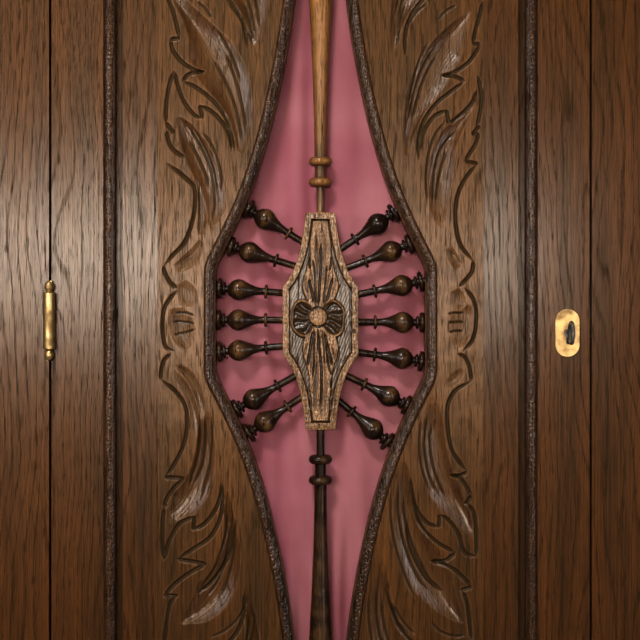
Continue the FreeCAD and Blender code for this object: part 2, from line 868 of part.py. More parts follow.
def board_layer(offset, y0, y1):
    """One layer of the left carved board, cut out to the opening's outline plus an offset."""
    tip = tip_half_height + offset
    corners = [V(0, 0, -tip), V(0, 0, -board_z), V(-board_x, 0, -board_z),
               V(-board_x, 0, board_z), V(0, 0, board_z), V(0, 0, tip)]
    edges = opening_edges(offset) + [Part.makeLine(a, b) for a, b in zip(corners, corners[1:])]
    face = Part.Face(Part.Wire(Part.__sortEdges__(edges)))
    layer = face.extrude(V(0, y1 - y0, 0))
    layer.translate(V(0, y0, z_mid))
    return layer


def make_carved_boards():
    """The two boards that the leaves are carved in, rebated for the bead, drilled for spindles."""
    y_seat = y_panel + opening_bead_seat
    board = joined(board_layer(opening_bead_width + joint_gap, y_panel, y_seat),
                   board_layer(0, y_seat, y_panel_back))
    y1 = y_tongue + tongue_thickness
    outer_x = board_x + board_tongue
    outer_z = board_z + board_tongue
    board = joined(
        board,
        block(-outer_x, -board_x, y_tongue, y1, z_mid - outer_z, z_mid + outer_z),
        block(-outer_x, 0, y_tongue, y1, z_mid + board_z, z_mid + outer_z),
        block(-outer_x, 0, y_tongue, y1, z_mid - outer_z, z_mid - board_z))
    long_hole = long_end_radius + joint_gap
    drill = long_end_socket + joint_gap + overrun
    ends = []
    for way in (1, -1):
        start = V(0, y_spindle, z_mid + way * (tip_half_height - overrun))
        ends.append(rod(long_hole, drill, start, V(0, 0, way)))
    left = carved_away(board, ends + spindle_holes(left_aim_shares, -1))
    right = carved_away(mirrored(board), ends + spindle_holes(right_aim_shares, 1))
    keep("carved_board_left", left)
    keep("carved_board_right", right)


def make_opening_beads():
    """The bead round the opening: a thumb moulding that falls into the opening."""
    w = opening_bead_width
    low = y_panel + opening_bead_seat
    lip = y_panel + opening_bead_lip
    crest = y_panel - opening_bead_rise
    base = z_mid + tip_half_height
    z_crest = base + w * opening_bead_crest_share
    z_edge = base + w * opening_bead_edge_share
    inner_foot = V(0, low, base)
    inner_lip = V(0, lip, base)
    outer_lip = V(0, y_panel, base + w)
    outer_foot = V(0, low, base + w)
    face = Part.BSplineCurve()
    face.interpolate([inner_lip, V(0, (lip + crest) / 2, (base + z_crest) / 2 - opening_bead_lip),
                      V(0, crest, z_crest), V(0, (crest + y_panel) / 2, z_edge), outer_lip])
    profile = Part.Wire([
        Part.makeLine(inner_foot, inner_lip), face.toShape(),
        Part.makeLine(outer_lip, outer_foot), Part.makeLine(outer_foot, inner_foot)])
    path = Part.Wire(opening_edges(0))
    path.translate(V(0, low, z_mid))
    bead = path.makePipeShell([profile], True, False)
    keep("opening_bead_left", bead)
    keep("opening_bead_right", mirrored(bead))


# Plaque and spindles

def plaque_wire(inset):
    """The plaque's outline, moved inward by an inset."""
    w = plaque_half_width - inset
    end_w = plaque_end_half_width - inset
    h = plaque_half_height - inset
    waist = plaque_waist - inset / 2
    flank = [V(x * plaque_half_width - inset, 0, z * plaque_half_height)
             for x, z in plaque_flank_shares]
    curve = Part.BSplineCurve()
    curve.interpolate([V(w, 0, waist)] + flank + [V(end_w, 0, h)])
    upper = curve.toShape()
    quarter = [upper, upper.mirror(V(0, 0, 0), V(0, 0, 1))]
    half = quarter + [Part.makeLine(V(w, 0, -waist), V(w, 0, waist))]
    other = [mirrored(edge) for edge in half]
    ends = [Part.makeLine(V(-end_w, 0, z), V(end_w, 0, z)) for z in (h, -h)]
    return Part.Wire(Part.__sortEdges__(half + other + ends))


def plaque_prism(inset, y0, y1):
    """A flat slice of the plaque."""
    prism = Part.Face(plaque_wire(inset)).extrude(V(0, y1 - y0, 0))
    prism.translate(V(0, y0, z_mid))
    return prism


def make_plaque():
    """The plaque: a rim round a sunk field, with a flower and its button in the middle."""
    y0 = y_panel + plaque_setback
    y_field = y0 + plaque_field_depth
    body = plaque_prism(0, y0, y0 + plaque_thickness)
    body = body.cut(plaque_prism(plaque_rim, y0 - overrun, y_field))
    forward = V(0, -1, 0)
    centre = V(0, y_field, z_mid)
    flower = Part.makeCone(plaque_flower_radius, plaque_button_radius, plaque_flower_height,
                           centre, forward)
    button = Part.makeCylinder(plaque_button_radius, plaque_button_height, centre, forward)
    body = joined(body, flower, button)
    holes = spindle_sockets(left_aim_shares, -1) + spindle_sockets(right_aim_shares, 1)
    for way in (1, -1):
        start = V(0, y_spindle, z_mid + way * (plaque_half_height - spindle_neck_socket))
        holes.append(rod(long_neck_radius + joint_gap, spindle_neck_socket + overrun,
                         start, V(0, 0, way)))
    keep("plaque", carved_away(body, holes))


def crossing(wire, start, direction):
    """How far along a line from start it meets a wire."""
    reach = 2 * waist_half_width
    ray = Part.makeLine(start, start + direction * reach)
    met = wire.distToShape(ray)[1][0][1]
    return (met - start).dot(direction)


def spindle_line(aim, side):
    """A small spindle's direction, its start at the plaque's edge and its free length."""
    inner = V(side * aim[0] * plaque_half_width, 0, aim[1] * plaque_half_height)
    outer = V(side * aim[2] * waist_half_width, 0, aim[3] * plaque_half_height)
    direction = (outer - inner).normalize()
    start = inner - direction * plaque_end_half_width
    start += direction * crossing(plaque_wire(0), start, direction)
    opening = Part.Wire(opening_edges(0))
    if side > 0:
        opening = mirrored(opening)
    across = V(-direction.z, 0, direction.x) * spindle_end_radius
    free = min(crossing(opening, start + across * way, direction) for way in (-1, 0, 1))
    drilled = crossing(opening, start, direction)
    return start, direction, free - seat_gap, drilled


def spindle_holes(aims, side):
    """The holes in a carved board for its spindles' dowels."""
    holes = []
    for aim in aims:
        start, direction, free, drilled = spindle_line(aim, side)
        mouth = start + direction * (free - overrun) + V(0, y_spindle, z_mid)
        depth = drilled - free + spindle_dowel_length + joint_gap + overrun
        holes.append(rod(spindle_dowel_radius + joint_gap, depth, mouth, direction))
    return holes


def spindle_sockets(aims, side):
    """The holes in the plaque for its spindles' necks."""
    holes = []
    for aim in aims:
        start, direction, free, drilled = spindle_line(aim, side)
        mouth = start + direction * overrun + V(0, y_spindle, z_mid)
        depth = spindle_neck_socket + joint_gap + overrun
        holes.append(rod(spindle_neck_radius + joint_gap, depth, mouth, direction * -1))
    return holes


def small_spindle(free, dowel):
    """A small spindle along X: neck, collar, bulb, ring and disc, then a dowel into the board."""
    end = free
    disc = end - spindle_disc_width
    ring_end = disc - spindle_groove / 2
    ring = ring_end - spindle_ring_width
    bulb_end = ring - spindle_groove
    bulb = bulb_end - spindle_bulb_length
    collar = bulb - spindle_collar_width
    points = [(bulb + along * spindle_bulb_length, out * spindle_bulb_radius)
              for along, out in bulb_shares]
    thin = points[-1][1]
    edges = [line(-spindle_neck_socket, spindle_neck_radius, collar, spindle_neck_radius)]
    edges += ring_edges(collar, bulb, spindle_neck_radius, spindle_collar_radius, points[0][1],
                        ring_round_share)
    edges += [flowing(points), line(bulb_end, thin, ring, thin)]
    edges += ring_edges(ring, ring_end, thin, spindle_ring_radius, thin, ring_round_share)
    edge = spindle_disc_radius * ring_round_share
    middle = disc + spindle_disc_width / 2
    edges += [
        line(ring_end, thin, disc, thin),
        line(disc, thin, disc, edge),
        hollow(disc, edge, middle, spindle_disc_radius, end, spindle_end_radius),
        line(end, spindle_end_radius, end, spindle_dowel_radius),
        line(end, spindle_dowel_radius, dowel, spindle_dowel_radius),
    ]
    return turned(edges)


def make_small_spindles():
    """Seven small spindles on each side of the plaque."""
    for word, side, aims in (("left", -1, left_aim_shares), ("right", 1, right_aim_shares)):
        for number, aim in enumerate(aims, 1):
            start, direction, free, drilled = spindle_line(aim, side)
            spindle = small_spindle(free, drilled + spindle_dowel_length)
            seat = start + V(0, y_spindle, z_mid)
            keep(f"spindle_{word}_{number}", placed(spindle, seat, direction))


def make_long_spindles():
    """The two long spindles, from the plaque's ends into the tips of the opening."""
    total = tip_half_height - plaque_half_height
    first = long_neck_length
    second = first + long_collar_width + long_drum_length
    shaft = second + long_collar_width
    ring_end = total * (1 - long_end_neck_share)
    swell = ring_end - long_ring_width
    points = [(shaft + along * (swell - shaft), out * long_swell_radius)
              for along, out in shaft_shares]
    thin = points[-1][1]
    edges = [line(-spindle_neck_socket, long_neck_radius, first, long_neck_radius)]
    edges += ring_edges(first, first + long_collar_width, long_neck_radius,
                        long_collar_radius, long_drum_radius, collar_edge_share)
    edges.append(line(first + long_collar_width, long_drum_radius, second, long_drum_radius))
    edges += ring_edges(second, shaft, long_drum_radius, long_collar_radius, points[0][1],
                        collar_edge_share)
    edges.append(flowing(points))
    edges += ring_edges(swell, ring_end, thin, long_ring_radius, thin, ring_round_share)
    edges += [
        line(ring_end, thin, total, long_end_radius),
        line(total, long_end_radius, total + long_end_socket, long_end_radius),
    ]
    spindle = turned(edges)
    for name, way in (("long_spindle_upper", 1), ("long_spindle_lower", -1)):
        start = V(0, y_spindle, z_mid + way * plaque_half_height)
        keep(name, placed(spindle, start, V(0, 0, way)))


# Curtain

def fold_wire(z, share):
    """A level section of the curtain: a row of shallow arcs, and back one thickness behind."""
    count = len(curtain_fold_shares)
    pitch = 2 * curtain_half_width / count
    edges = []
    for shift in (-curtain_thickness / 2, curtain_thickness / 2):
        y = y_rod + shift
        for index, depth in enumerate(curtain_fold_shares):
            x0 = -curtain_half_width + index * pitch
            way = 1 if index % 2 else -1
            crest = y + way * depth * share * curtain_fold_depth
            arc = Part.Arc(V(x0, y, z), V(x0 + pitch / 2, crest, z), V(x0 + pitch, y, z))
            edges.append(arc.toShape())
    for x in (-curtain_half_width, curtain_half_width):
        edges.append(Part.makeLine(V(x, y_rod - curtain_thickness / 2, z),
                                   V(x, y_rod + curtain_thickness / 2, z)))
    return Part.Wire(Part.__sortEdges__(edges))


def make_curtain():
    """The curtain behind the opening, its two rods and the screw eyes that hold them."""
    reach = curtain_half_height - rod_radius - seat_gap
    sections = [fold_wire(z_mid - reach, curtain_foot_share), fold_wire(z_mid, 1),
                fold_wire(z_mid + reach, curtain_foot_share)]
    keep("curtain", Part.makeLoft(sections, True, True))

    rods = []
    eyes = []
    half = frame_x + rod_overhang
    for way in (1, -1):
        z = z_mid + way * curtain_half_height
        bar = rod(rod_radius, 2 * half, V(-half, y_rod, z), V(1, 0, 0))
        knobs = [Part.makeSphere(rod_knob_radius, V(x, y_rod, z)) for x in (-half, half)]
        rods.append(joined(bar, *knobs))
        eye = screw_eye(z)
        eyes += [mirrored(eye), eye]
    keep("curtain_rods", *rods)
    keep("curtain_hooks", *eyes)


def eye_place(z):
    """The middle of a screw eye on the lock stile's back."""
    return V(frame_x + eye_inset, y_rod, z)


def screw_eye(z):
    """A wire eye round the rod with a screw shank into the stile."""
    ring = rod_radius + seat_gap + eye_wire_radius
    centre = eye_place(z)
    eye = Part.makeTorus(ring, eye_wire_radius, centre, V(1, 0, 0))
    shank = rod(eye_wire_radius, eye_shank_length, centre - V(0, ring, 0), V(0, -1, 0))
    return joined(eye, shank)


def eye_spaces():
    """The holes for the screw eyes' shanks in the lock stile."""
    ring = rod_radius + seat_gap + eye_wire_radius
    spaces = []
    for way in (1, -1):
        centre = eye_place(z_mid + way * curtain_half_height)
        spaces.append(rod(eye_wire_radius + joint_gap, eye_shank_length + joint_gap,
                          centre - V(0, ring, 0), V(0, -1, 0)))
    return spaces


# Hinges

def hinge_levels():
    """The height of each hinge's parting line."""
    return [z_door_low + share * (z_door_high - z_door_low) for share in hinge_shares]


def hinge_axis():
    """The hinge line, in front of the gap between the post and the door."""
    return V(-x_opening + door_gap / 2, y_front - hinge_radius - stop_gap, 0)


def hinge_recesses(x0, x1):
    """The recesses for the hinge leaves, between two depths in the wood."""
    spaces = []
    for z in hinge_levels():
        spaces.append(block(x0, x1, y_front - overrun, y_front + hinge_leaf_depth,
                            z - hinge_half_length - joint_gap, z + hinge_half_length + joint_gap))
    return spaces


def hinge_finial(way):
    """A small turned finial that closes a hinge barrel's end."""
    n = hinge_finial_length
    edges = [
        line(0, hinge_radius, n / 8, hinge_radius),
        line(n / 8, hinge_radius, n / 4, hinge_neck_radius),
        hollow(n / 4, hinge_neck_radius, n * 5 / 8, hinge_finial_radius, n, 0),
    ]
    return placed(turned(edges), V(0, 0, 0), V(0, 0, way))


def make_hinges():
    """Barrel hinges: the fixed half below with its pin, the moving half above."""
    axis = hinge_axis()
    fixed = []
    moving = []
    pins = []
    barrel = hinge_half_length - hinge_finial_length
    y1 = y_front + hinge_leaf_depth
    for z in hinge_levels():
        low = rod(hinge_radius, barrel, V(axis.x, axis.y, z - barrel), V(0, 0, 1))
        leaf = block(-x_opening - hinge_leaf_thickness, -x_opening, axis.y, y1,
                     z - hinge_half_length, z)
        end = hinge_finial(-1).translated(V(axis.x, axis.y, z - barrel))
        half = joined(low, leaf, end)
        pin_low = V(axis.x, axis.y, z - hinge_pin_half_length)
        pin = rod(hinge_pin_radius, 2 * hinge_pin_half_length, pin_low, V(0, 0, 1))
        fixed.append(half.cut(rod(hinge_pin_radius, 2 * hinge_pin_half_length, pin_low,
                                  V(0, 0, 1))))
        pins.append(pin)

        z0 = z + seat_gap
        high = rod(hinge_radius, barrel, V(axis.x, axis.y, z0), V(0, 0, 1))
        leaf = block(-door_half, -door_half + hinge_leaf_thickness, axis.y, y1,
                     z0, z + hinge_half_length)
        end = hinge_finial(1).translated(V(axis.x, axis.y, z0 + barrel))
        half = joined(high, leaf, end)
        moving.append(half.cut(rod(hinge_pin_radius + turn_gap,
                                   hinge_pin_half_length + overrun + turn_gap,
                                   V(axis.x, axis.y, z - overrun), V(0, 0, 1))))
    keep("hinge_leaves_case", *fixed)
    keep("hinge_leaves_door", *moving)
    keep("hinge_pins", *pins)


# Lock, bolt and key

lock_x = door_half - lock_face_thickness - lock_depth
lock_y = y_front + door_thickness / 2
key_x = lock_x + lock_depth / 2
key_z = z_mid - key_drop


def lock_case_box():
    """The lock's body."""
    return (lock_x, door_half - lock_face_thickness, lock_y - lock_thickness / 2,
            lock_y + lock_thickness / 2, z_mid - lock_height / 2, z_mid + lock_height / 2)


def lock_face_box():
    """The lock's face plate, let into the door's edge."""
    return (door_half - lock_face_thickness, door_half, lock_y - lock_face_width / 2,
            lock_y + lock_face_width / 2, z_mid - lock_face_height / 2,
            z_mid + lock_face_height / 2)


def key_way(y0, y1):
    """The keyhole between two depths: a round hole with a slot below for the bit."""
    round_hole = rod(key_radius + seat_gap, y1 - y0, V(key_x, y0, key_z), V(0, 1, 0))
    half = key_bit_width / 2 + seat_gap
    slot = block(key_x - half, key_x + half, y0, y1, key_z - key_bit_length - seat_gap, key_z)
    return joined(round_hole, slot)


def bolt_box(gap):
    """The bolt's cross-section from the lock's inside to its face, grown by a gap."""
    z0 = z_mid + bolt_rise
    return (door_half - bolt_length - gap, door_half, lock_y - bolt_thickness / 2 - gap,
            lock_y + bolt_thickness / 2 + gap, z0 - gap, z0 + bolt_height + gap)


def lock_spaces():
    """What the lock stile gives up for the lock, its face plate and the key."""
    box = lock_face_box()
    face = mortise(box[0], box[1] + overrun, *box[2:])
    return [mortise(*lock_case_box()), face, key_way(y_front - overrun, lock_y)]


def make_lock():
    """The mortise lock: a hollow case with a face plate, the bolt in it, and the escutcheon."""
    x0, x1, y0, y1, z0, z1 = lock_case_box()
    w = lock_wall
    shell = block(x0, x1, y0, y1, z0, z1)
    inside = block(x0 + w, x1, y0 + w, y1 - w, z0 + w, z1 - w)
    case = joined(shell.cut(inside), block(*lock_face_box()))
    window = bolt_box(seat_gap)
    window = block(window[0], window[1] + overrun, *window[2:])
    case = case.cut([window, key_way(y0 - overrun, y0 + w + joint_gap)])
    keep("lock_case", case)

    keep("lock_bolt", block(*bolt_box(0)))

    half = plate_width / 2
    high = plate_height / 2
    middle = V(key_x, 0, key_z)
    outline = Part.Wire([
        Part.Arc(V(-half, 0, high - half), V(0, 0, high), V(half, 0, high - half)).toShape(),
        Part.makeLine(V(half, 0, high - half), V(half, 0, half - high)),
        Part.Arc(V(half, 0, half - high), V(0, 0, -high), V(-half, 0, half - high)).toShape(),
        Part.makeLine(V(-half, 0, half - high), V(-half, 0, high - half))])
    plate = Part.Face(outline).extrude(V(0, plate_thickness, 0))
    plate.translate(middle + V(0, y_front - plate_thickness, 0))
    keep("escutcheon", plate.cut(key_way(y_front - overrun, y_front + overrun)))


def make_key():
    """The key: a ring bow, a collar, a round shank and a plain bit inside the lock."""
    y_plate = y_front - plate_thickness
    y_collar = y_plate - key_shank_out / 2
    y_out = y_plate - key_shank_out
    y_end = lock_y + lock_thickness / 2 - lock_wall - seat_gap
    back = V(0, 1, 0)
    shank = rod(key_radius, y_end - y_out, V(key_x, y_out, key_z), back)
    collar = rod(key_collar_radius, key_radius, V(key_x, y_collar, key_z), back)
    bow_middle = V(key_x, y_out - key_bow_radius, key_z)
    bow = Part.makeTorus(key_bow_radius, key_bow_wire, bow_middle, V(1, 0, 0))
    half = key_bit_width / 2
    thick = key_bit_thickness / 2
    bit = block(key_x - half, key_x + half, lock_y - thick, lock_y + thick,
                key_z - key_bit_length, key_z)
    keep("key", joined(shank, collar, bow, bit))


def strike_box():
    """The strike plate, let into the right post."""
    z = z_mid + bolt_rise + bolt_height / 2
    return (x_opening, x_opening + strike_thickness, lock_y - strike_width / 2,
            lock_y + strike_width / 2, z - strike_height / 2, z + strike_height / 2)


def bolt_hole():
    """The hole behind the strike plate that the bolt shoots into."""
    box = bolt_box(seat_gap)
    x1 = door_half + bolt_throw + seat_gap
    return block(x_opening - overrun, x1, *box[2:])


def strike_spaces():
    """What the right post gives up for the strike plate and the bolt."""
    box = strike_box()
    return [mortise(box[0] - overrun, *box[1:]), bolt_hole()]


def make_strike():
    """The strike plate with its window."""
    keep("strike_plate", block(*strike_box()).cut(bolt_hole()))


def make_case_pegs():
    """The oak pegs that show on the case's front and sides."""
    pegs = front_pegs(peg_radius) + side_pegs(peg_radius)
    keep("case_pegs", *pegs, *[mirrored(peg) for peg in pegs])


make_posts()
make_side_frames()
make_front_and_rear_rails()
make_boards()
make_hanging_rail()
make_cornice()
make_base_moulding()
make_feet()
make_case_pegs()
make_door_frame()
make_door_stops()
make_frame_bead()
make_panel_bands()
make_carved_boards()
make_opening_beads()
make_plaque()
make_small_spindles()
make_long_spindles()
make_curtain()
make_hinges()
make_lock()
make_key()
make_strike()

os.makedirs("parts", exist_ok=True)
for name, shape in nodes.items():
    shape.exportStep(f"parts/{name}.step")
    print(name, len(shape.Solids), "valid" if shape.isValid() else "NOT VALID",
          round(shape.Volume / 1000, 1), "cm3")
print(len(nodes), "nodes")
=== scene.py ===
# %% [markdown]
# # A carved oak wardrobe, dressed
# The construction comes packed as a fixed frame of solids. This lesson gives each of them the
# surface that the real piece has: carved leaves, punched beads, worn turnings, a gathered
# curtain and stained oak with its grain running along every board.

# %% The frame
import bmesh
import bpy
import math
import numpy as np
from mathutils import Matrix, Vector


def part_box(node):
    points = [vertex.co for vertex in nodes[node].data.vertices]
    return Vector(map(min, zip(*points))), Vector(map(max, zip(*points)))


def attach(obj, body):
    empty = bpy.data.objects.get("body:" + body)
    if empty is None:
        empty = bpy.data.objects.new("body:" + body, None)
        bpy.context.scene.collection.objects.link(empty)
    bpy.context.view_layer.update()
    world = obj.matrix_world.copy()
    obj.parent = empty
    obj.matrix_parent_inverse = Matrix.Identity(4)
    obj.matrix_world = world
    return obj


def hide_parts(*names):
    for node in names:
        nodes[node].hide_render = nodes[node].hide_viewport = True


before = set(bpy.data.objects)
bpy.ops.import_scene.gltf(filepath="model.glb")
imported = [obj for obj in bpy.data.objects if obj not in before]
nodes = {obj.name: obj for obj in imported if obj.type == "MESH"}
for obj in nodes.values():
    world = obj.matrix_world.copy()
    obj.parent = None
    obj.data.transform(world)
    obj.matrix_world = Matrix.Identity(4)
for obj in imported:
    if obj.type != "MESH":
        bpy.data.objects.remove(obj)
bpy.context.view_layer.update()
MM = 0.001

# %% [markdown]
# ## Where things are
# The door carries everything that the photograph shows, so its middle and its faces are read
# from the frame once. All carving is drawn in millimetres from the middle of the door.

# %% Places on the door
board_low, board_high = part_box("carved_board_left")
Z_MID = (board_low.z + board_high.z) / 2
Y_FACE = board_low.y
Y_BOARD_BACK = board_high.y
Y_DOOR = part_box("door_stile_hinge")[0].y
print("door middle", round(Z_MID, 4), "panel face", round(Y_FACE, 4))

# %% [markdown]
# ## Camera
# The photograph looks straight at the middle of the door from about a metre and a half, with
# no tilt. A long lens at that distance keeps the beads parallel. The picture is 640 pixels
# wide and one pixel on the door is 1.1 mm.

# %% The camera
PICTURE = 640
PIXEL = 1.1 * MM
CAMERA_AWAY = 1.6
eye = bpy.data.cameras.new("eye")
eye.sensor_width = 36.0
eye.lens = eye.sensor_width * CAMERA_AWAY / (PICTURE * PIXEL)
camera = bpy.data.objects.new("eye", eye)
bpy.context.scene.collection.objects.link(camera)
camera.location = (-0.5 * PIXEL, Y_FACE - CAMERA_AWAY, Z_MID + PIXEL)
camera.rotation_euler = (math.radians(90), 0, 0)
bpy.context.scene.camera = camera
bpy.context.scene.view_settings.view_transform = "Standard"
print("lens", round(eye.lens, 1), "mm")

# %% [markdown]
# ## The floor
# The wardrobe stands on a plain pale floor. Floor and sky look pale to the camera only, so they
# don't fill the carving's shadows.

# %% The floor
def for_camera(tree, value, socket):
    """Gives a socket this value for the camera's rays and none for the light's."""
    path = tree.nodes.new("ShaderNodeLightPath")
    seen = tree.nodes.new("ShaderNodeMath")
    seen.operation = "MULTIPLY"
    seen.inputs[1].default_value = value
    tree.links.new(path.outputs["Is Camera Ray"], seen.inputs[0])
    tree.links.new(seen.outputs[0], socket)
    return seen


def new_material(name):
    """An empty material with nodes. Gives it with its tree and its shader."""
    material = bpy.data.materials.new(name)
    material.use_nodes = True
    return material, material.node_tree, material.node_tree.nodes["Principled BSDF"]


PALE = (0.80, 0.80, 0.79, 1)
REACH = 14
matt, matt_tree, matt_shader = new_material("pale_floor")
matt_shader.inputs["Base Color"].default_value = PALE
matt_shader.inputs["Roughness"].default_value = 0.9
matt_shader.inputs["Emission Color"].default_value = PALE
for_camera(matt_tree, 0.6, matt_shader.inputs["Emission Strength"])
floor_mesh = bpy.data.meshes.new("floor")
floor_mesh.from_pydata([(-REACH, -REACH, 0), (REACH, -REACH, 0), (REACH, REACH, 0),
                        (-REACH, REACH, 0)], [], [(0, 1, 2, 3)])
floor_mesh.materials.append(matt)
floor = bpy.data.objects.new("floor", floor_mesh)
bpy.context.scene.collection.objects.link(floor)
print("floor", 2 * REACH, "m wide")

# %% [markdown]
# ## Lamps
# A wide low strip behind the camera has the warm colour of a window and gives the varnish its
# sheen at waist height. Two soft lights left and right rake the carving, a small one from above
# throws the spindles' shadows on the curtain, and lamps beside and behind the case light the
# sides that the front lamps don't reach.

# %% The lamps and the sky
WARM, COOL, WHITE = (1.0, 0.83, 0.67), (0.94, 0.96, 1.0), (1.0, 0.97, 0.93)


def lamp(name, size, place, aim, watts, spread_angle=180, colour=WHITE):
    """A large soft rectangular lamp at a place, facing a point."""
    light = bpy.data.lights.new(name, "AREA")
    light.color = colour
    light.shape = "RECTANGLE"
    light.size, light.size_y = size
    light.spread = math.radians(spread_angle)
    light.energy = watts
    made = bpy.data.objects.new(name, light)
    made.location = place
    made.rotation_euler = (Vector(aim) - Vector(place)).to_track_quat("-Z", "Y").to_euler()
    bpy.context.scene.collection.objects.link(made)


lamp("strip_light", (2.4, 0.3), (-0.5, -3.4, Z_MID + 0.2), (-0.25, 0, Z_MID + 0.28), 11.5, 62,
     WARM)
lamp("left_light", (0.7, 1.2), (-1.6, -2.1, 1.45), (0, 0, 1.2), 2.4, 70, COOL)
lamp("right_light", (0.7, 1.2), (1.6, -2.1, 1.05), (0, 0, 0.8), 1.6, 56, COOL)
for side in (-1, 1):
    lamp("side_light", (1.6, 2.2), (side * 3.4, 1.3, 1.7), (0, 0.1, 1.0), 20)
lamp("key_light", (0.5, 0.3), (-0.5, -1.7, 2.5), (-0.15, -0.25, 1.12), 3.4, 46)
lamp("top_light", (2.4, 2.4), (0, -0.6, 4.0), (0, 0, 1.0), 6)
lamp("back_light", (2.4, 2.4), (0.8, 4.0, 2.4), (0, 0, 1.0), 60)
world = bpy.data.worlds.new("studio")
bpy.context.scene.world = world
world.use_nodes = True
world.node_tree.nodes["Background"].inputs["Color"].default_value = (1.0, 0.98, 0.95, 1)
sky = for_camera(world.node_tree, 0.52, world.node_tree.nodes["Background"].inputs["Strength"])
sky.operation = "MULTIPLY_ADD"
sky.inputs[2].default_value = 0.035

# %% [markdown]
# ## Small helpers for shader nodes
# A node tree is easier to read as a list of named steps. These helpers add a node, set its
# plain values and join its sockets.

# %% Node helpers
def fill(tree, node, values, links):
    """Sets a node's plain input values and joins its other inputs to their sources."""
    for name, value in (values or {}).items():
        node.inputs[name].default_value = value
    for name, source in (links or {}).items():
        tree.links.new(source, node.inputs[name])


def step(tree, kind, values=None, links=None, **settings):
    """Adds one node with its settings, its plain input values and its links."""
    node = tree.nodes.new(kind)
    for name, value in settings.items():
        setattr(node, name, value)
    fill(tree, node, values, links)
    return node


def maths(tree, operation, first, second=None, third=None):
    """A Math node; each term is a number or a socket. Gives its output socket."""
    node = step(tree, "ShaderNodeMath", operation=operation)
    for index, term in enumerate((first, second, third)):
        if term is None:
            continue
        if isinstance(term, (int, float)):
            node.inputs[index].default_value = term
        else:
            tree.links.new(term, node.inputs[index])
    return node.outputs[0]


def spread(tree, value, low, high, to_low=0.0, to_high=1.0):
    """Maps a value from one range to another, smoothly and clamped."""
    numbers = {"From Min": low, "From Max": high, "To Min": to_low, "To Max": to_high}
    node = step(tree, "ShaderNodeMapRange", numbers, {"Value": value},
                interpolation_type="SMOOTHSTEP")
    return node.outputs[0]


def blend(tree, factor, first, second):
    """Mixes two colours; each is a tuple or a socket. Gives the colour socket."""
    node = step(tree, "ShaderNodeMix", data_type="RGBA", clamp_factor=True)
    for name, term in (("Factor", factor), ("A", first), ("B", second)):
        socket = [s for s in node.inputs if s.name == name and s.enabled][0]
        if isinstance(term, (int, float)):
            socket.default_value = term
        elif isinstance(term, tuple):
            socket.default_value = (*term, 1) if len(term) == 3 else term
        else:
            tree.links.new(term, socket)
    return [s for s in node.outputs if s.enabled][0]


def noise(tree, where, scale, detail=2.0, rough=0.5):
    """A Noise texture on a vector socket. Gives its value socket."""
    made = step(tree, "ShaderNodeTexNoise", {"Scale": scale, "Detail": detail,
                                             "Roughness": rough}, {"Vector": where})
    return made.outputs[0]


def mark_of(tree, name):
    """A point attribute of the mesh. Gives its value socket."""
    return step(tree, "ShaderNodeAttribute", attribute_name=name).outputs["Fac"]


def stretched(tree, where, factors):
    """Multiplies a position by three factors, which stretches a texture along the grain."""
    node = step(tree, "ShaderNodeVectorMath", operation="MULTIPLY")
    tree.links.new(where, node.inputs[0])
    node.inputs[1].default_value = factors
    return node.outputs[0]


def group(name, inputs, outputs):
    """An empty shader node group with named sockets. Gives the tree, its input and output."""
    tree = bpy.data.node_groups.new(name, "ShaderNodeTree")
    for socket, kind, value in inputs:
        made = tree.interface.new_socket(socket, in_out="INPUT", socket_type="NodeSocket" + kind)
        if value is not None:
            made.default_value = value
    for socket, kind in outputs:
        tree.interface.new_socket(socket, in_out="OUTPUT", socket_type="NodeSocket" + kind)
    return tree, tree.nodes.new("NodeGroupInput"), tree.nodes.new("NodeGroupOutput")


# %% [markdown]
# ## Oak grain
# Oak shows long fine streaks, rows of short open pores that hold dark stain, and slow bands
# where the growth rings run out of the face. All three are noise stretched along the board.
# One group makes them from a position in metres whose Z runs along the grain, so posts, rails
# and side boards only turn the position before it.

# %% The grain group
grain, grain_in, grain_out = group(
    "oak_grain",
    [("Position", "Vector", None), ("Shift", "Float", 0.0)],
    [("Streaks", "Float"), ("Pores", "Float"), ("Rings", "Float"), ("Tone", "Float"),
     ("Height", "Float")])
shifted = step(grain, "ShaderNodeVectorMath", operation="ADD")
offset = step(grain, "ShaderNodeCombineXYZ")
grain.links.new(grain_in.outputs["Position"], shifted.inputs[0])
for axis, factor in (("X", 3.7), ("Y", 5.3), ("Z", 11.9)):
    grain.links.new(maths(grain, "MULTIPLY", grain_in.outputs["Shift"], factor),
                    offset.inputs[axis])
grain.links.new(offset.outputs[0], shifted.inputs[1])
spot = shifted.outputs[0]
wander = noise(grain, stretched(grain, spot, (9, 9, 2.2)), 1.0, 2)
split = step(grain, "ShaderNodeSeparateXYZ", links={"Vector": spot})
across = maths(grain, "MULTIPLY_ADD", split.outputs["Y"], 0.55, split.outputs["X"])
ring = maths(grain, "MULTIPLY_ADD", wander, 0.16, across)
ring = maths(grain, "SINE", maths(grain, "MULTIPLY", ring, 560.0))
rings = spread(grain, ring, -0.2, 1.0)
lines = spread(grain, ring, 0.72, 1.0)
streaks = noise(grain, stretched(grain, spot, (620, 620, 13)), 1.0, 3, 0.6)
broad = noise(grain, stretched(grain, spot, (42, 42, 2.5)), 1.0, 2)
pores = noise(grain, stretched(grain, spot, (900, 900, 58)), 1.0, 1)
pores = spread(grain, pores, 0.54, 0.62)
pores = maths(grain, "MULTIPLY", pores, maths(grain, "MULTIPLY_ADD", rings, 0.5, 0.5))
height = maths(grain, "MULTIPLY_ADD", pores, -1.0, maths(grain, "MULTIPLY", streaks, 0.5))
for socket, value in (("Streaks", streaks), ("Pores", pores), ("Rings", lines),
                      ("Tone", broad), ("Height", height)):
    grain.links.new(value, grain_out.inputs[socket])
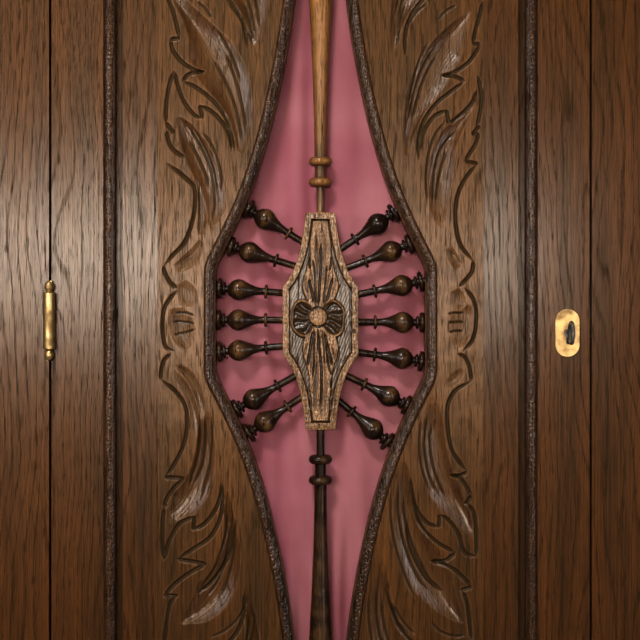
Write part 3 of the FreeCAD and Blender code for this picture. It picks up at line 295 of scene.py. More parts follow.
print("group", grain.name, "with", len(grain.nodes), "nodes")

# %% [markdown]
# ## Stained oak
# The same stain and satin varnish cover the whole wardrobe. The maker below builds one oak
# material: grain from the group, dark stain and painted shade left in hollows, an orange glaze
# in deep flanks, lighter wood where hands and cloths have rubbed the high places, a painted
# pool of light at waist height on the carved boards, and more varnish where the gouge has
# burnished the wood. All these places are kept on the mesh as point attributes, because the
# code that carves a surface knows them exactly.

# %% The oak maker
GLAZE = (0.045, 0.015, 0.003)
TURNS = {"Z": (0, 0, 0), "X": (0, math.radians(90), 0), "Y": (math.radians(90), 0, 0)}


def oak(name, along, dark, light, wear_and_light, rough=0.42, stain_and_shade=(0.010, 0.005, 0.002),
        coat=0.7, coat_rough=0.2, patchy=0.35, pore_strength=0.88, glow=0.2,
        burnish=0.0):
    """An oak material with its grain along one axis of the part."""
    material, tree, shader = new_material(name)
    where = step(tree, "ShaderNodeTexCoord").outputs["Object"]
    turned = step(tree, "ShaderNodeMapping", {"Rotation": TURNS[along]}, {"Vector": where})
    board = mark_of(tree, "board")
    oak_grain = step(tree, "ShaderNodeGroup", node_tree=grain)
    fill(tree, oak_grain, {}, {"Position": turned.outputs[0], "Shift": board})
    out = oak_grain.outputs
    mixed = maths(tree, "MULTIPLY_ADD", out["Streaks"], 1.8,
                  maths(tree, "MULTIPLY_ADD", out["Tone"], 1.4, -1.2))
    mixed = maths(tree, "MULTIPLY_ADD", board, 0.18, mixed)
    colour = blend(tree, mixed, dark, light)
    colour = blend(tree, maths(tree, "MULTIPLY", out["Rings"], 0.5), colour, dark)
    patches = spread(tree, noise(tree, where, 55.0, 3), 0.36, 0.64, patchy, 1.0)
    # The worn colour lightens rubbed places and, on the carved boards, paints a pool of light at
    # waist height.
    rubbed_and_lit = maths(tree, "MULTIPLY", mark_of(tree, "wear_and_light"), patches)
    colour = blend(tree, rubbed_and_lit, colour, wear_and_light)
    colour = blend(tree, maths(tree, "MULTIPLY", mark_of(tree, "deep"), 0.75), colour, GLAZE)
    colour = blend(tree, maths(tree, "MULTIPLY", out["Pores"], pore_strength), colour, stain_and_shade)
    # The hollow mark takes the dark stain colour: stain and dirt in cuts, punch marks and necks,
    # and painted shade in dips, deep shells, the plaque's grooves and the panel bands' rebate.
    hollow = mark_of(tree, "hollow")
    colour = blend(tree, hollow, colour, stain_and_shade)
    gloss = maths(tree, "MULTIPLY_ADD", out["Pores"], 0.25, rough)
    gloss = maths(tree, "MULTIPLY_ADD", out["Streaks"], 0.12, gloss)
    gloss = maths(tree, "MULTIPLY_ADD", hollow, 0.25, gloss)
    film = maths(tree, "MULTIPLY_ADD", out["Streaks"], 1.1 * coat, 0.1 * coat)
    open_grain = maths(tree, "MAXIMUM", out["Pores"], maths(tree, "MULTIPLY", out["Rings"], 0.6))
    film = maths(tree, "MULTIPLY_ADD", open_grain, -0.6 * coat, film)
    film = maths(tree, "MULTIPLY", film, maths(tree, "MULTIPLY_ADD", hollow, -0.6, 1.0))
    polished = maths(tree, "MULTIPLY_ADD", mark_of(tree, "polish"), burnish, 1.0)
    film = maths(tree, "MULTIPLY", film, polished)
    bump = step(tree, "ShaderNodeBump", {"Strength": 0.8, "Distance": 0.35 * MM},
                {"Height": out["Height"]})
    fill(tree, shader, {"Specular IOR Level": glow, "Specular Tint": (1.0, 0.60, 0.26, 1),
                        "Coat Roughness": coat_rough},
         {"Base Color": colour, "Roughness": gloss, "Coat Weight": film,
          "Normal": bump.outputs[0]})
    return material


# %% [markdown]
# ## The oaks of the wardrobe
# Case and door share one stain, for boards whose grain runs up, across or to the back. The
# carved boards have less varnish but burnished flanks, the inside is only waxed, and the beads,
# pegs and feet are nearly black. Each oak is given as its dark, its light and its worn colour;
# on the carved boards the worn colour also paints a pool of light at waist height.

# %% The oaks
CASE = ((0.005, 0.0011, 0.0002), (0.066, 0.0175, 0.0022), (0.10, 0.034, 0.008))
PLAIN = ((0.16, 0.09, 0.045), (0.33, 0.21, 0.11), (0.36, 0.24, 0.13))
BLACK = ((0.006, 0.0025, 0.0015), (0.046, 0.018, 0.008), (0.15, 0.070, 0.034))
oak_upright, oak_level, oak_deep = [
    oak(name, along, *CASE)
    for name, along in (("oak_upright", "Z"), ("oak_level", "X"), ("oak_deep", "Y"))]
oak_plain, oak_plain_level = [
    oak(name, along, *PLAIN, rough=0.6, coat=0.0, glow=0.1)
    for name, along in (("oak_plain", "Z"), ("oak_plain_level", "X"))]
oak_black, oak_black_level = [
    oak(name, along, *BLACK, rough=0.45, stain_and_shade=(0.003, 0.0015, 0.001), coat=0.6, glow=0.1)
    for name, along in (("oak_black", "Z"), ("oak_black_level", "X"))]
oak_board = oak("oak_board", "Z", (0.005, 0.0013, 0.0003), (0.076, 0.0235, 0.004),
                (0.18, 0.090, 0.041), rough=0.36, coat=0.26, coat_rough=0.25, glow=0.27,
                burnish=3.2)
oak_tan = oak("oak_tan", "Z", (0.022, 0.009, 0.004), (0.16, 0.070, 0.026), (0.36, 0.185, 0.08),
              rough=0.5, coat=0.8, patchy=0.45, pore_strength=0.9, glow=0.1, burnish=1.0)
oak_turned = oak("oak_turned", "Z", (0.004, 0.002, 0.0012), (0.014, 0.005, 0.002),
                 (0.145, 0.066, 0.020), rough=0.45, stain_and_shade=(0.002, 0.001, 0.0008), coat=0.6,
                 coat_rough=0.22, patchy=0.0, glow=0.05)
oak_golden = oak("oak_golden", "Z", (0.020, 0.007, 0.002), (0.10, 0.036, 0.008),
                 (0.26, 0.11, 0.028), rough=0.45, patchy=0.7, glow=0.15)
print("oak materials", len([m for m in bpy.data.materials if m.name.startswith("oak_")]))

# %% [markdown]
# ## Building meshes
# Every carved or moulded surface here is a grid of points. A helper turns a grid into quads,
# joins several grids into one closed piece, and says where the sharp edges are.

# %% Mesh helpers
def grid_faces(rows, columns, start=0, flip=False):
    """Quads of a rows by columns grid of points, numbered row by row from start."""
    row, column = np.meshgrid(np.arange(rows - 1), np.arange(columns - 1), indexing="ij")
    a = row * columns + column + start
    quads = np.stack([a, a + 1, a + 1 + columns, a + columns], axis=-1).reshape(-1, 4)
    return quads[:, ::-1] if flip else quads


def put_marks(mesh, marks):
    """Keeps named values on a mesh's points, for the materials to read."""
    for mark, values in marks.items():
        layer = mesh.attributes.new(mark, "FLOAT", "POINT")
        layer.data.foreach_set("value", values.astype(np.float32))


def mesh_piece(name, points, quads, material, replaced, sharp, marks):
    """A piece of the door from points in metres, quads, a material, marks and the node it replaces.
    """
    mesh = bpy.data.meshes.new(name)
    mesh.vertices.add(len(points))
    mesh.vertices.foreach_set("co", np.asarray(points, np.float32).ravel())
    mesh.loops.add(quads.size)
    mesh.loops.foreach_set("vertex_index", np.asarray(quads, np.int32).ravel())
    mesh.polygons.add(len(quads))
    mesh.polygons.foreach_set("loop_start", np.arange(0, quads.size, 4, dtype=np.int32))
    mesh.update(calc_edges=True)
    put_marks(mesh, marks)
    mesh.shade_smooth()
    mesh.set_sharp_from_angle(angle=math.radians(sharp))
    mesh.validate()
    coat_with(mesh, material)
    return dress(name, mesh, "door", replaced)


def relief(name, grids, foot_y, material, replaced, shift=0.0, sharp=50):
    """A door piece from grids of front points, each closed by plain sides and a flat back.

    A grid comes with its marks and with whether its columns run the other way."""
    points, quads, marks = [], [], {}
    start = 0
    for front, grid_marks, flip in grids:
        rows, columns = front.shape[:2]
        back = front[:, [0, -1]].copy()
        back[..., 1] = foot_y
        first = start + np.arange(rows) * columns
        behind = start + rows * columns + np.arange(rows) * 2
        quads.append(grid_faces(rows, columns, start, flip))
        for one, other in ((behind, first), (first + columns - 1, behind + 1),
                           (behind + 1, behind)):
            wall = np.stack([one[:-1], other[:-1], other[1:], one[1:]], axis=1)
            quads.append(wall[:, ::-1] if flip else wall)
        made = [front.reshape(-1, 3), back.reshape(-1, 3)]
        for row, turn in ((0, True), (-1, False)):
            end = np.stack([front[row], front[row]])
            end[1, :, 1] = foot_y
            quads.append(grid_faces(2, columns, start + sum(map(len, made)), turn != flip))
            made.append(end.reshape(-1, 3))
        made = np.vstack(made)
        for mark, values in grid_marks.items():
            filled = np.zeros(len(made))
            filled[:values.size] = values.ravel()
            marks.setdefault(mark, []).append(filled)
        points.append(made)
        start += len(made)
    marks = {mark: np.concatenate(values) for mark, values in marks.items()}
    marks["board"] = np.full(start, shift)
    return mesh_piece(name, np.vstack(points), np.vstack(quads), material, replaced, sharp,
                      marks)


def coat_with(mesh, *materials):
    """Gives a mesh its materials in place of what it has."""
    mesh.materials.clear()
    for material in materials:
        mesh.materials.append(material)


def dress(name, mesh, body, replaced):
    """Makes a mesh a piece of the wardrobe, on its body and in place of a node."""
    made = bpy.data.objects.new(name, mesh)
    bpy.context.scene.collection.objects.link(made)
    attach(made, body)
    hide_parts(replaced)
    return made


def on_door(x, y, z):
    """Points in metres: x and z are in millimetres from the middle of the door, y in metres."""
    return np.stack([x * MM, y, Z_MID + z * MM], axis=-1)


def points_of(mesh):
    """A mesh's points as rows of x, y and z in metres."""
    points = np.zeros(len(mesh.vertices) * 3, np.float32)
    mesh.vertices.foreach_get("co", points)
    return points.reshape(-1, 3).astype(float)


# %% [markdown]
# ## The opening's outline
# The bead and both boards follow the pierced opening. Its outline is read from the packed
# board: at each height the board's innermost point is the edge of the opening.

# %% Reading an outline from a node
def door_points(node):
    """A node's points in millimetres from the middle of the door."""
    return (points_of(nodes[node].data) - (0, 0, Z_MID)) / MM


def reach_at(node, heights, pick):
    """The least or the greatest distance from the middle line that a node has at heights."""
    edges = np.zeros(len(nodes[node].data.edges) * 2, np.int32)
    nodes[node].data.edges.foreach_get("vertices", edges)
    low, high = door_points(node)[edges.reshape(-1, 2).T]
    found = []
    for z in heights:
        crossing = (low[:, 2] - z) * (high[:, 2] - z) < 0
        a, b = low[crossing], high[crossing]
        share = ((z - a[:, 2]) / (b[:, 2] - a[:, 2]))[:, None]
        found.append(pick(np.abs((a + (b - a) * share)[:, 0])))
    return np.array(found)


BEAD_WIDTH = 13.0
board_points = door_points("carved_board_left")
face_points = board_points[np.abs(board_points[:, 1] - Y_FACE / MM) < 0.01]
BOARD_X, BOARD_Z = np.abs(face_points[:, 0]).max(), face_points[:, 2].max()
TIP = door_points("opening_bead_left")[:, 2].max() - BEAD_WIDTH
line_z = np.concatenate([np.linspace(-TIP, -TIP + 12, 40)[:-1] + 0.02,
                         np.linspace(-TIP + 12, TIP - 12, 1000),
                         np.linspace(TIP - 12, TIP, 40)[1:] - 0.02])
line_x = reach_at("carved_board_left", line_z, np.min)
outline = np.stack([line_x, line_z], axis=1)
outline = np.vstack([(0, -TIP), outline, (0, TIP)])
print("board", round(BOARD_X, 1), round(BOARD_Z, 1), "tip", round(TIP, 1),
      "waist", round(line_x.max(), 2))

# %% [markdown]
# ## The carved leaves
# Each board carries acanthus leaves cut into its flat face: nothing stands proud. A carver
# works them with three strokes, and so does this code: a veining tool draws the outlines, a
# round gouge scoops the hollows, and a smaller veining tool marks the veins. A stroke is a line
# with a width and a depth, and the surface is the deepest of all scoops plus the fine cuts.

# %% One stroke of the carving tools
def smooth_line(line, spacing=1.2):
    """A flowing line through a few points, with a point about every spacing millimetres."""
    line = np.array(line, float)
    if len(line) > 2:
        ends = np.vstack([2 * line[0] - line[1], line, 2 * line[-1] - line[-2]])
        share = np.linspace(0, 1, 9)[:-1, None]
        runs = []
        for a, b, c, d in zip(ends, ends[1:], ends[2:], ends[3:]):
            runs.append(0.5 * (2 * b + (c - a) * share + (2 * a - 5 * b + 4 * c - d) * share**2
                               + (3 * b - a - 3 * c + d) * share**3))
        line = np.vstack(runs + [line[-1:]])
    gone = np.concatenate([[0], np.cumsum(np.hypot(*np.diff(line, axis=0).T))])
    even = np.linspace(0, gone[-1], max(3, int(gone[-1] / spacing)))
    return np.stack([np.interp(even, gone, line[:, k]) for k in (0, 1)], axis=1)


def beside(x, z, line, reach):
    """Points within reach of a line: their numbers, signed distances and shares along it."""
    low, high = line.min(axis=0) - reach, line.max(axis=0) + reach
    near = np.flatnonzero((x > low[0]) & (x < high[0]) & (z > low[1]) & (z < high[1]))
    best, along, side = np.full(len(near), 1e9), np.zeros(len(near)), np.ones(len(near))
    way = 1 if line[-1, 1] > line[0, 1] else -1
    for index, (a, b) in enumerate(zip(line, line[1:])):
        d = b - a
        t = np.clip(((x[near] - a[0]) * d[0] + (z[near] - a[1]) * d[1]) / (d @ d), 0, 1)
        away = np.hypot(x[near] - a[0] - t * d[0], z[near] - a[1] - t * d[1])
        closer = away < best
        best[closer], along[closer] = away[closer], ((index + t) / (len(line) - 1))[closer]
        turn = way * (d[0] * (z[near] - a[1]) - d[1] * (x[near] - a[0]))
        side[closer] = np.sign(turn)[closer]
    kept = best < reach
    return near[kept], (best * side)[kept], along[kept]


def scoop(x, z, depth, line, inner, outer, deepest):
    """A round gouge: an easy side towards the opening and another away from it."""
    near, away, along = beside(x, z, smooth_line(line), max(*inner, *outer))
    widths = np.where(away > 0, np.interp(along, np.linspace(0, 1, len(inner)), inner),
                      np.interp(along, np.linspace(0, 1, len(outer)), outer))
    share = np.abs(away) / widths
    chatter = np.sin(away * 1.9 + 3 * np.sin(along * 9)) * np.sin(along * 70 + away * 0.4)
    ends = np.clip(np.minimum(along * 3.6 + 0.05, (1 - along) * 2.8 + 0.04), 0, 1)
    ends = np.sin(ends * math.pi / 2)
    hollow = deepest * ends * (1 - share**np.where(away > 0, 1.45, 1.7))
    striae = 0.08 * np.sin(away * 1.9 + 2.2 * np.sin(along * 5))
    hollow += (striae + 0.05 * chatter) * (hollow > 0.6)
    depth[near] = np.maximum(depth[near], hollow)


def cut(x, z, depth, mark, line, half_width, deepest, heel=0.3):
    """A veining tool: a narrow groove on top of what is there, thin at its heel and its toe."""
    near, away, along = beside(x, z, smooth_line(line), half_width)
    ends = np.clip(np.minimum(along, 1 - along) * 7 + heel, 0, 1)
    share = np.clip(np.abs(away) / (half_width * ends), 0, 1)
    depth[near] += deepest * ends * (1 - share**1.6)
    # The groove is coloured darker towards its middle: dirt and painted shade.
    dirt_and_shade = np.clip((1 - share) * 4, 0, 1)
    mark[near] = np.maximum(mark[near], dirt_and_shade * ends)


# %% [markdown]
# ## The outlines
# Every stroke is drawn as (distance from the middle line, height) in millimetres, from the
# photograph's proportions. The two boards were carved by hand and differ a little.

# %% The outlines
LEFT_CUTS = [
    [(170, 369), (167, 353), (162, 340), (158, 324), (155, 312)],
    [(155, 311), (165, 310)],
    [(165, 310), (162, 297), (150, 283), (137, 276), (128, 275)],
    [(128, 275), (144, 272), (152, 264)],
    [(152, 264), (137, 257), (119, 243), (106, 227), (99, 209), (95, 187)],
    [(161, 275), (157, 259), (150, 241), (139, 227), (130, 223)],
    [(130, 223), (133, 237)],
    [(133, 237), (122, 232), (110, 221), (101, 207), (97, 187)],
    [(162, 274), (167, 257), (170, 237), (170, 218)],
    [(170, 218), (161, 206)],
    [(169, 210), (168, 202), (164, 191), (155, 183), (148, 180)],
    [(169, 173), (155, 163), (144, 153), (139, 147), (138, 129), (142, 106), (150, 86),
     (162, 73), (172, 61)],
    [(172, 61), (172, 55), (166, 43), (158, 36)],
    [(158, 33), (167, 23), (172, 13), (174, -1), (173, -18), (170, -29), (161, -33)],
    [(165, -36), (172, -43), (175, -52), (176, -65)],
    [(175, -65), (160, -77), (149, -93), (147, -111), (150, -134), (160, -156), (171, -172)],
    [(171, -172), (150, -173)],
    [(150, -173), (164, -187), (173, -203)],
    [(173, -203), (169, -203)],
    [(172, -205), (174, -223), (174, -246), (172, -262)],
    [(172, -262), (166, -241), (155, -223), (139, -215)],
    [(139, -215), (140, -230)],
    [(140, -230), (128, -223), (117, -210), (110, -192), (108, -179)],
    [(157, -262), (139, -250), (121, -237), (110, -215), (107, -184)],
    [(157, -262), (126, -267)],
    [(126, -267), (144, -277), (160, -289), (172, -302)],
    [(172, -302), (157, -302)],
    [(159, -302), (166, -313), (170, -336), (173, -362)],
    [(94, -223), (101, -257), (117, -284), (135, -300)],
]
RIGHT_CUTS = [
    [(178, 351), (175, 335), (170, 319), (168, 305)],
    [(168, 305), (175, 305)],
    [(175, 305), (171, 296), (161, 283), (145, 273), (134, 271)],
    [(134, 271), (148, 269), (159, 264)],
    [(159, 264), (143, 252), (127, 239), (114, 221), (108, 200), (108, 179)],
    [(172, 254), (166, 239), (152, 225), (141, 217)],
    [(141, 217), (139, 232)],
    [(139, 232), (125, 225), (114, 209), (109, 188)],
    [(173, 270), (177, 248), (175, 227), (172, 214)],
    [(175, 215), (167, 205)],
    [(167, 205), (173, 205), (170, 194), (159, 176)],
    [(159, 176), (173, 173)],
    [(173, 173), (163, 162), (154, 147), (149, 129), (149, 106), (154, 84), (168, 66)],
    [(168, 66), (166, 53), (153, 38)],
    [(159, 36), (167, 26), (171, 13), (171, -4), (167, -21), (157, -33)],
    [(151, -36), (159, -40), (164, -51), (166, -66)],
    [(166, -66), (148, -77), (140, -93), (140, -116), (145, -143), (161, -166)],
    [(161, -166), (153, -170), (143, -170)],
    [(143, -170), (154, -173), (166, -192)],
    [(166, -192), (159, -202)],
    [(161, -200), (169, -212), (171, -235), (171, -259)],
    [(171, -259), (160, -256), (155, -246), (152, -235), (141, -219), (131, -213)],
    [(131, -213), (130, -227)],
    [(130, -227), (116, -221), (105, -205), (100, -185), (99, -172)],
    [(100, -196), (109, -223), (125, -241), (148, -255)],
    [(148, -255), (138, -263), (122, -265)],
    [(122, -265), (143, -271), (159, -284), (166, -293)],
    [(166, -293), (154, -296)],
    [(156, -297), (161, -309), (163, -323), (166, -351)],
    [(94, -223), (101, -254), (116, -282), (134, -298)],
]
print("outline cuts", len(LEFT_CUTS), len(RIGHT_CUTS))

# %% [markdown]
# ## The veins
# Veins are cut into the easy side of each hollow, and three short ticks mark each waist shell.

# %% The veins
LEFT_FLUTES = [
    [(114, 320), (106, 307), (99, 294), (93, 278), (88, 262)],
    [(120, 292), (110, 274), (100, 253), (93, 232), (88, 208), (86, 193)],
    [(108, 300), (98, 278), (90, 252), (85, 228), (82, 205)],
    [(150, 220), (138, 202), (128, 184), (121, 166), (118, 148), (117, 128), (119, 108)],
    [(131, 209), (121, 196), (114, 180), (110, 160), (110, 140)],
    [(141, 213), (131, 197), (123, 180), (117, 160), (114, 138)],
    [(146, 200), (136, 182), (128, 164), (123, 146)],
    [(134, 148), (133, 120), (134, 94)],
    [(160, 9), (149, 9), (139, 6)],
    [(163, -1), (151, -1), (138, -3)],
    [(162, -15), (150, -13), (138, -9)],
    [(134, -98), (133, -128), (137, -156), (146, -186)],
    [(127, -104), (127, -134), (131, -160), (141, -183)],
    [(120, -104), (120, -138), (124, -166), (134, -200)],
    [(103, 352), (94, 341), (86, 329), (79, 316), (73, 304)],
    [(84, 352), (80, 338), (76, 322), (73, 306)],
    [(136, 352), (126, 343), (119, 333)],
    [(80, -300), (85, -318), (95, -332), (108, -342), (122, -348)],
    [(112, -305), (104, -288), (98, -265), (94, -238)],
    [(128, -308), (113, -286), (105, -262), (99, -232), (96, -205)],
    [(135, -298), (119, -276), (110, -254), (104, -232), (102, -208)],
]
RIGHT_FLUTES = [
    [(121, 310), (112, 295), (106, 278), (101, 258), (97, 238)],
    [(130, 296), (120, 280), (112, 262), (106, 242), (101, 220)],
    [(126, 302), (116, 286), (108, 268), (102, 246), (97, 222)],
    [(140, 222), (128, 208), (121, 192), (117, 172), (116, 150), (118, 128)],
    [(152, 212), (140, 200), (131, 186), (126, 168), (124, 148), (123, 125)],
    [(140, 190), (133, 170), (129, 150), (127, 128)],
    [(140, 8), (149, 9), (158, 9)],
    [(140, -2), (149, -1), (158, -1)],
    [(141, -12), (149, -11), (157, -11)],
    [(111, -104), (109, -125), (109, -148), (113, -168), (121, -190)],
    [(118, -100), (115, -128), (116, -152), (121, -174), (132, -194)],
    [(123, -110), (121, -132), (123, -155), (130, -178), (140, -198)],
    [(118, 350), (107, 341), (98, 330), (93, 326)],
    [(93, 352), (89, 338), (86, 320), (85, 302)],
    [(150, 348), (138, 341), (129, 331)],
    [(72, -292), (76, -312), (84, -330), (96, -345)],
    [(80, -312), (90, -330), (104, -345)],
    [(121, -330), (130, -340), (145, -346), (160, -346)],
    [(78, -180), (77, -210), (80, -238), (87, -264), (96, -288), (108, -310)],
    [(86, -178), (86, -208), (90, -236), (98, -262), (109, -285), (122, -300)],
    [(91, -190), (94, -220), (101, -246), (112, -270), (124, -292)],
]
print("veins", len(LEFT_FLUTES), len(RIGHT_FLUTES))

# %% [markdown]
# ## The gouge's hollows
# A hollow has the line of its floor, its widths towards the opening and away from it along that
# line, and its depth.

# %% The gouge's hollows
LEFT_HOLLOWS = [
    ([(158, 352), (150, 342), (138, 325), (124, 301), (113, 277), (104, 255), (98, 235),
      (92, 212), (88, 190)],
     (8, 12, 18, 26, 29, 28, 25, 17, 6), (4, 8, 14, 24, 24, 17, 10, 7, 4), 6.0),
    ([(156, 224), (149, 210), (144, 195), (138, 180), (131, 164), (125, 148), (121, 128),
      (121, 106)],
     (3, 12, 18, 21, 22, 20, 16, 7), (3, 8, 10, 10, 9, 8, 6, 3), 4.6),
    ([(136, 160), (131, 140), (129, 118), (130, 94)], (3, 5, 5, 3), (3, 4, 4, 2), 2.2),
    ([(160, 57), (148, 64), (138, 74), (130, 88)], (5, 8, 7, 3), (5, 8, 7, 4), 1.6),
    ([(154, 42), (148, 30), (149, 16)], (7, 12, 9), (6, 9, 8), 1.5),
    ([(160, 14), (157, -4), (150, -20), (144, -30)], (10, 18, 17, 9), (7, 10, 12, 8), 2.1),
    ([(158, -50), (148, -57), (139, -70), (133, -86), (130, -104)],
     (3, 6, 6, 5, 3), (3, 5, 5, 4, 3), 2.0),
    ([(160, -58), (150, -71), (143, -87), (138, -106), (137, -126)],
     (3, 5, 5, 4, 2), (3, 5, 5, 4, 2), 1.8),
    ([(131, -112), (133, -140), (138, -163), (147, -186)], (3, 4, 5, 3), (3, 4, 5, 3), 4.2),
    ([(124, -105), (126, -130), (129, -152), (134, -172), (141, -188), (151, -203), (164, -215)],
     (5, 9, 12, 15, 17, 16, 8), (4, 6, 8, 10, 15, 17, 6), 5.0),
    ([(104, -190), (101, -215), (100, -243), (102, -268), (108, -290), (118, -306),
      (132, -319), (152, -331)],
     (3, 6, 9, 12, 15, 16, 14, 3), (3, 5, 7, 10, 18, 25, 17, 3), 6.0),
]
RIGHT_HOLLOWS = [
    ([(163, 336), (150, 322), (137, 306), (126, 290), (117, 272), (109, 250), (103, 228),
      (98, 205), (95, 185)],
     (5, 9, 12, 14, 15, 14, 11, 8, 3), (4, 14, 24, 26, 24, 18, 10, 5, 3), 5.2),
    ([(166, 232), (156, 220), (146, 206), (138, 190), (133, 172), (130, 152), (129, 130),
      (131, 108)],
     (3, 8, 12, 14, 14, 12, 9, 4), (3, 6, 9, 12, 14, 14, 12, 6), 4.2),
    ([(153, 59), (147, 68), (141, 80)], (5, 6, 4), (5, 6, 4), 1.4),
    ([(148, 34), (152, 24), (156, 12)], (7, 10, 8), (6, 8, 6), 1.7),
    ([(162, 18), (160, 0), (155, -18), (150, -28)], (10, 17, 15, 8), (5, 8, 9, 6), 2.0),
    ([(157, -54), (148, -63), (139, -72)], (4, 6, 4), (4, 6, 4), 1.3),
    ([(126, -90), (128, -120), (132, -148), (138, -172), (146, -192), (157, -212),
      (166, -233)],
     (8, 16, 20, 24, 24, 15, 5), (5, 8, 8, 9, 10, 8, 4), 5.5),
    ([(92, -160), (94, -185), (98, -212), (104, -238), (113, -262), (124, -285), (137, -308),
      (154, -330)],
     (6, 12, 17, 21, 24, 25, 15, 3), (5, 6, 9, 14, 20, 22, 14, 4), 6.0),
]
print("hollows", len(LEFT_HOLLOWS), len(RIGHT_HOLLOWS))

# %% [markdown]
# ## Leaves beyond the middle
# The same leaves climb on towards both ends of the door, each a step nearer the middle line.
# They are the middle's own strokes, moved along, and the last ones curl in over the tip.

# %% Repeating the leaves up and down the board
def moved(line, inward, up):
    """A stroke's line moved towards the middle line and along the board."""
    return [(x - inward, z + up) for x, z in line]


def climbing(strokes, leaf, way, steps):
    """Copies of one leaf's strokes, climbing along the board."""
    copies = []
    for inward, up in steps:
        for index in leaf:
            stroke = strokes[index]
            if isinstance(stroke, tuple):
                copies.append((moved(stroke[0], inward, way * up), *stroke[1:]))
            else:
                copies.append(moved(stroke, inward, way * up))
    return copies


UP_STEPS = [(15, 114), (34, 228)]
DOWN_STEPS = [(24, 112), (46, 226)]
FULL_DEPTH = 6.0
OUTLINE_CUT, VEIN_CUT = (2.4, 2.2), (1.6, 1.2)


def carve(x, z, cuts, flutes, hollows, top_cuts, low_cuts):
    """The carving's depth, its dark cuts and its share of the full depth before the cuts."""
    depth, mark = np.zeros(len(x)), np.zeros(len(x))
    hollows = (hollows + climbing(hollows, (0,), 1, UP_STEPS)
               + climbing(hollows, (-1,), -1, DOWN_STEPS))
    flutes = (flutes + climbing(flutes, (0, 1, 2), 1, UP_STEPS)
              + climbing(flutes, (-3, -2, -1), -1, DOWN_STEPS))
    cuts = cuts + climbing(cuts, top_cuts, 1, UP_STEPS) + climbing(cuts, low_cuts, -1, DOWN_STEPS)
    for line, inner, outer, deepest in hollows:
        scoop(x, z, depth, line, inner, outer, deepest)
    deep = depth / FULL_DEPTH
    for line in cuts:
        cut(x, z, depth, mark, line, *OUTLINE_CUT)
    for line in flutes:
        cut(x, z, depth, mark, line, *VEIN_CUT, heel=0.1)
    return depth, mark, deep


# %% [markdown]
# ## The carved boards
# A board's face is a fine grid between the opening's edge and the flat band, about one
# millimetre a step, closed by plain sides and a back. Under the bead its face drops to the
# seat that the bead stands on.

# %% Making one carved board
SEAT_DEPTH = 5.0
SEAT_WIDTH = 11.5
FIELD_START = 14
FAR = 99.0
BOARD_COLUMNS = 156
BOARD_REACH, PLAQUE_REACH = 24, 45
IN_VIEW, FINE_STEP, COARSE_STEP, TIP_STEP = 370, 0.95, 1.7, 0.6


def local_detail(values, rows, columns, radius=2):
    """How much deeper a point lies than its neighbours: ridges are negative."""
    field = values.reshape(rows, columns)
    padded = np.pad(field, radius, mode="edge")
    total = np.zeros_like(field)
    for i in (0, radius, 2 * radius):
        for j in (0, radius, 2 * radius):
            total += padded[i:i + rows, j:j + columns]
    return (field - total / 9).ravel()


def board_rows():
    """The heights of the board's grid rows, closer where the photograph looks."""
    return np.unique(np.round(np.concatenate([
        np.arange(-BOARD_Z, -IN_VIEW, COARSE_STEP), np.arange(-IN_VIEW, IN_VIEW, FINE_STEP),
        np.arange(IN_VIEW, BOARD_Z, COARSE_STEP), [BOARD_Z, -TIP, TIP],
        np.arange(-TIP, -TIP + 9, TIP_STEP), np.arange(TIP - 9, TIP, TIP_STEP)]), 2))


def carved_board(side_name, side, cuts, flutes, hollows, top_cuts, low_cuts, shift):
    """One carved board: side is -1 for the left one and 1 for the right one."""
    z_rows = board_rows()
    rows, columns = len(z_rows), BOARD_COLUMNS
    inner = np.interp(z_rows, outline[:, 1], outline[:, 0])
    inner[np.abs(z_rows) >= TIP] = 0
    share = np.linspace(0, 1, columns)
    x = inner[:, None] + (BOARD_X - inner[:, None]) * share
    x, z = x.ravel(), np.repeat(z_rows, columns)
    depth, mark, deep = carve(x, z, cuts, flutes, hollows, top_cuts, low_cuts)
    from_edge = np.full(len(x), FAR)
    near, away, _ = beside(x, z, outline, BOARD_REACH)
    from_edge[near] = np.abs(away)
    depth *= np.clip((from_edge - BEAD_WIDTH - 0.2) / 2, 0, 1)
    detail = local_detail(depth, rows, columns)
    ground = 0.16 * np.sin(x / 23 + z / 61) * np.sin(z / 37)
    # The cuts and the dips are darkened: dirt and painted shade.
    hollow = np.clip(mark + np.clip(detail * 0.5, 0, 0.4), 0, 1)
    waist = np.clip((np.abs(z) - 70) / 50, 0, 1)
    # The deep hollows of the shells at the waist get painted shade.
    hollow = np.clip(hollow + 0.36 * np.clip(deep * 3, 0, 1) * (1 - waist), 0, 1)
    deep *= 0.25 + 0.75 * waist
    polish = np.clip(deep * 4 - 0.1, 0, 1) * np.clip(1.7 - deep * 1.5, 0.2, 1)
    polish *= np.clip(1.15 - 1.8 * np.abs(detail), 0.1, 1) * (0.15 + 0.85 * waist)
    polish += 0.2 * np.clip(1.3 - np.abs(z) / 110, 0, 1)
    # Wear lightens the ridges, and a painted pool of light lightens the wood at waist height.
    wear_and_light = np.clip(-detail * 0.5, 0, 0.3) + 0.55 * np.clip(1 - np.abs(z) / 190, 0, 1)
    wear_and_light[from_edge < BEAD_WIDTH] = 0
    open_field = from_edge > FIELD_START
    depth = np.where(from_edge < SEAT_WIDTH, SEAT_DEPTH, depth + np.abs(ground) * open_field)
    front = on_door(side * x, Y_FACE + depth * MM, z)
    marks = {"hollow": hollow, "wear_and_light": wear_and_light, "deep": deep * open_field,
             "polish": polish * open_field}
    print("leaves", side_name, rows, "rows, deepest", round(depth.max(), 1))
    relief("carved_leaves_" + side_name, [(front.reshape(rows, columns, 3), marks, side < 0)],
           Y_BOARD_BACK, oak_board, "carved_board_" + side_name, shift)


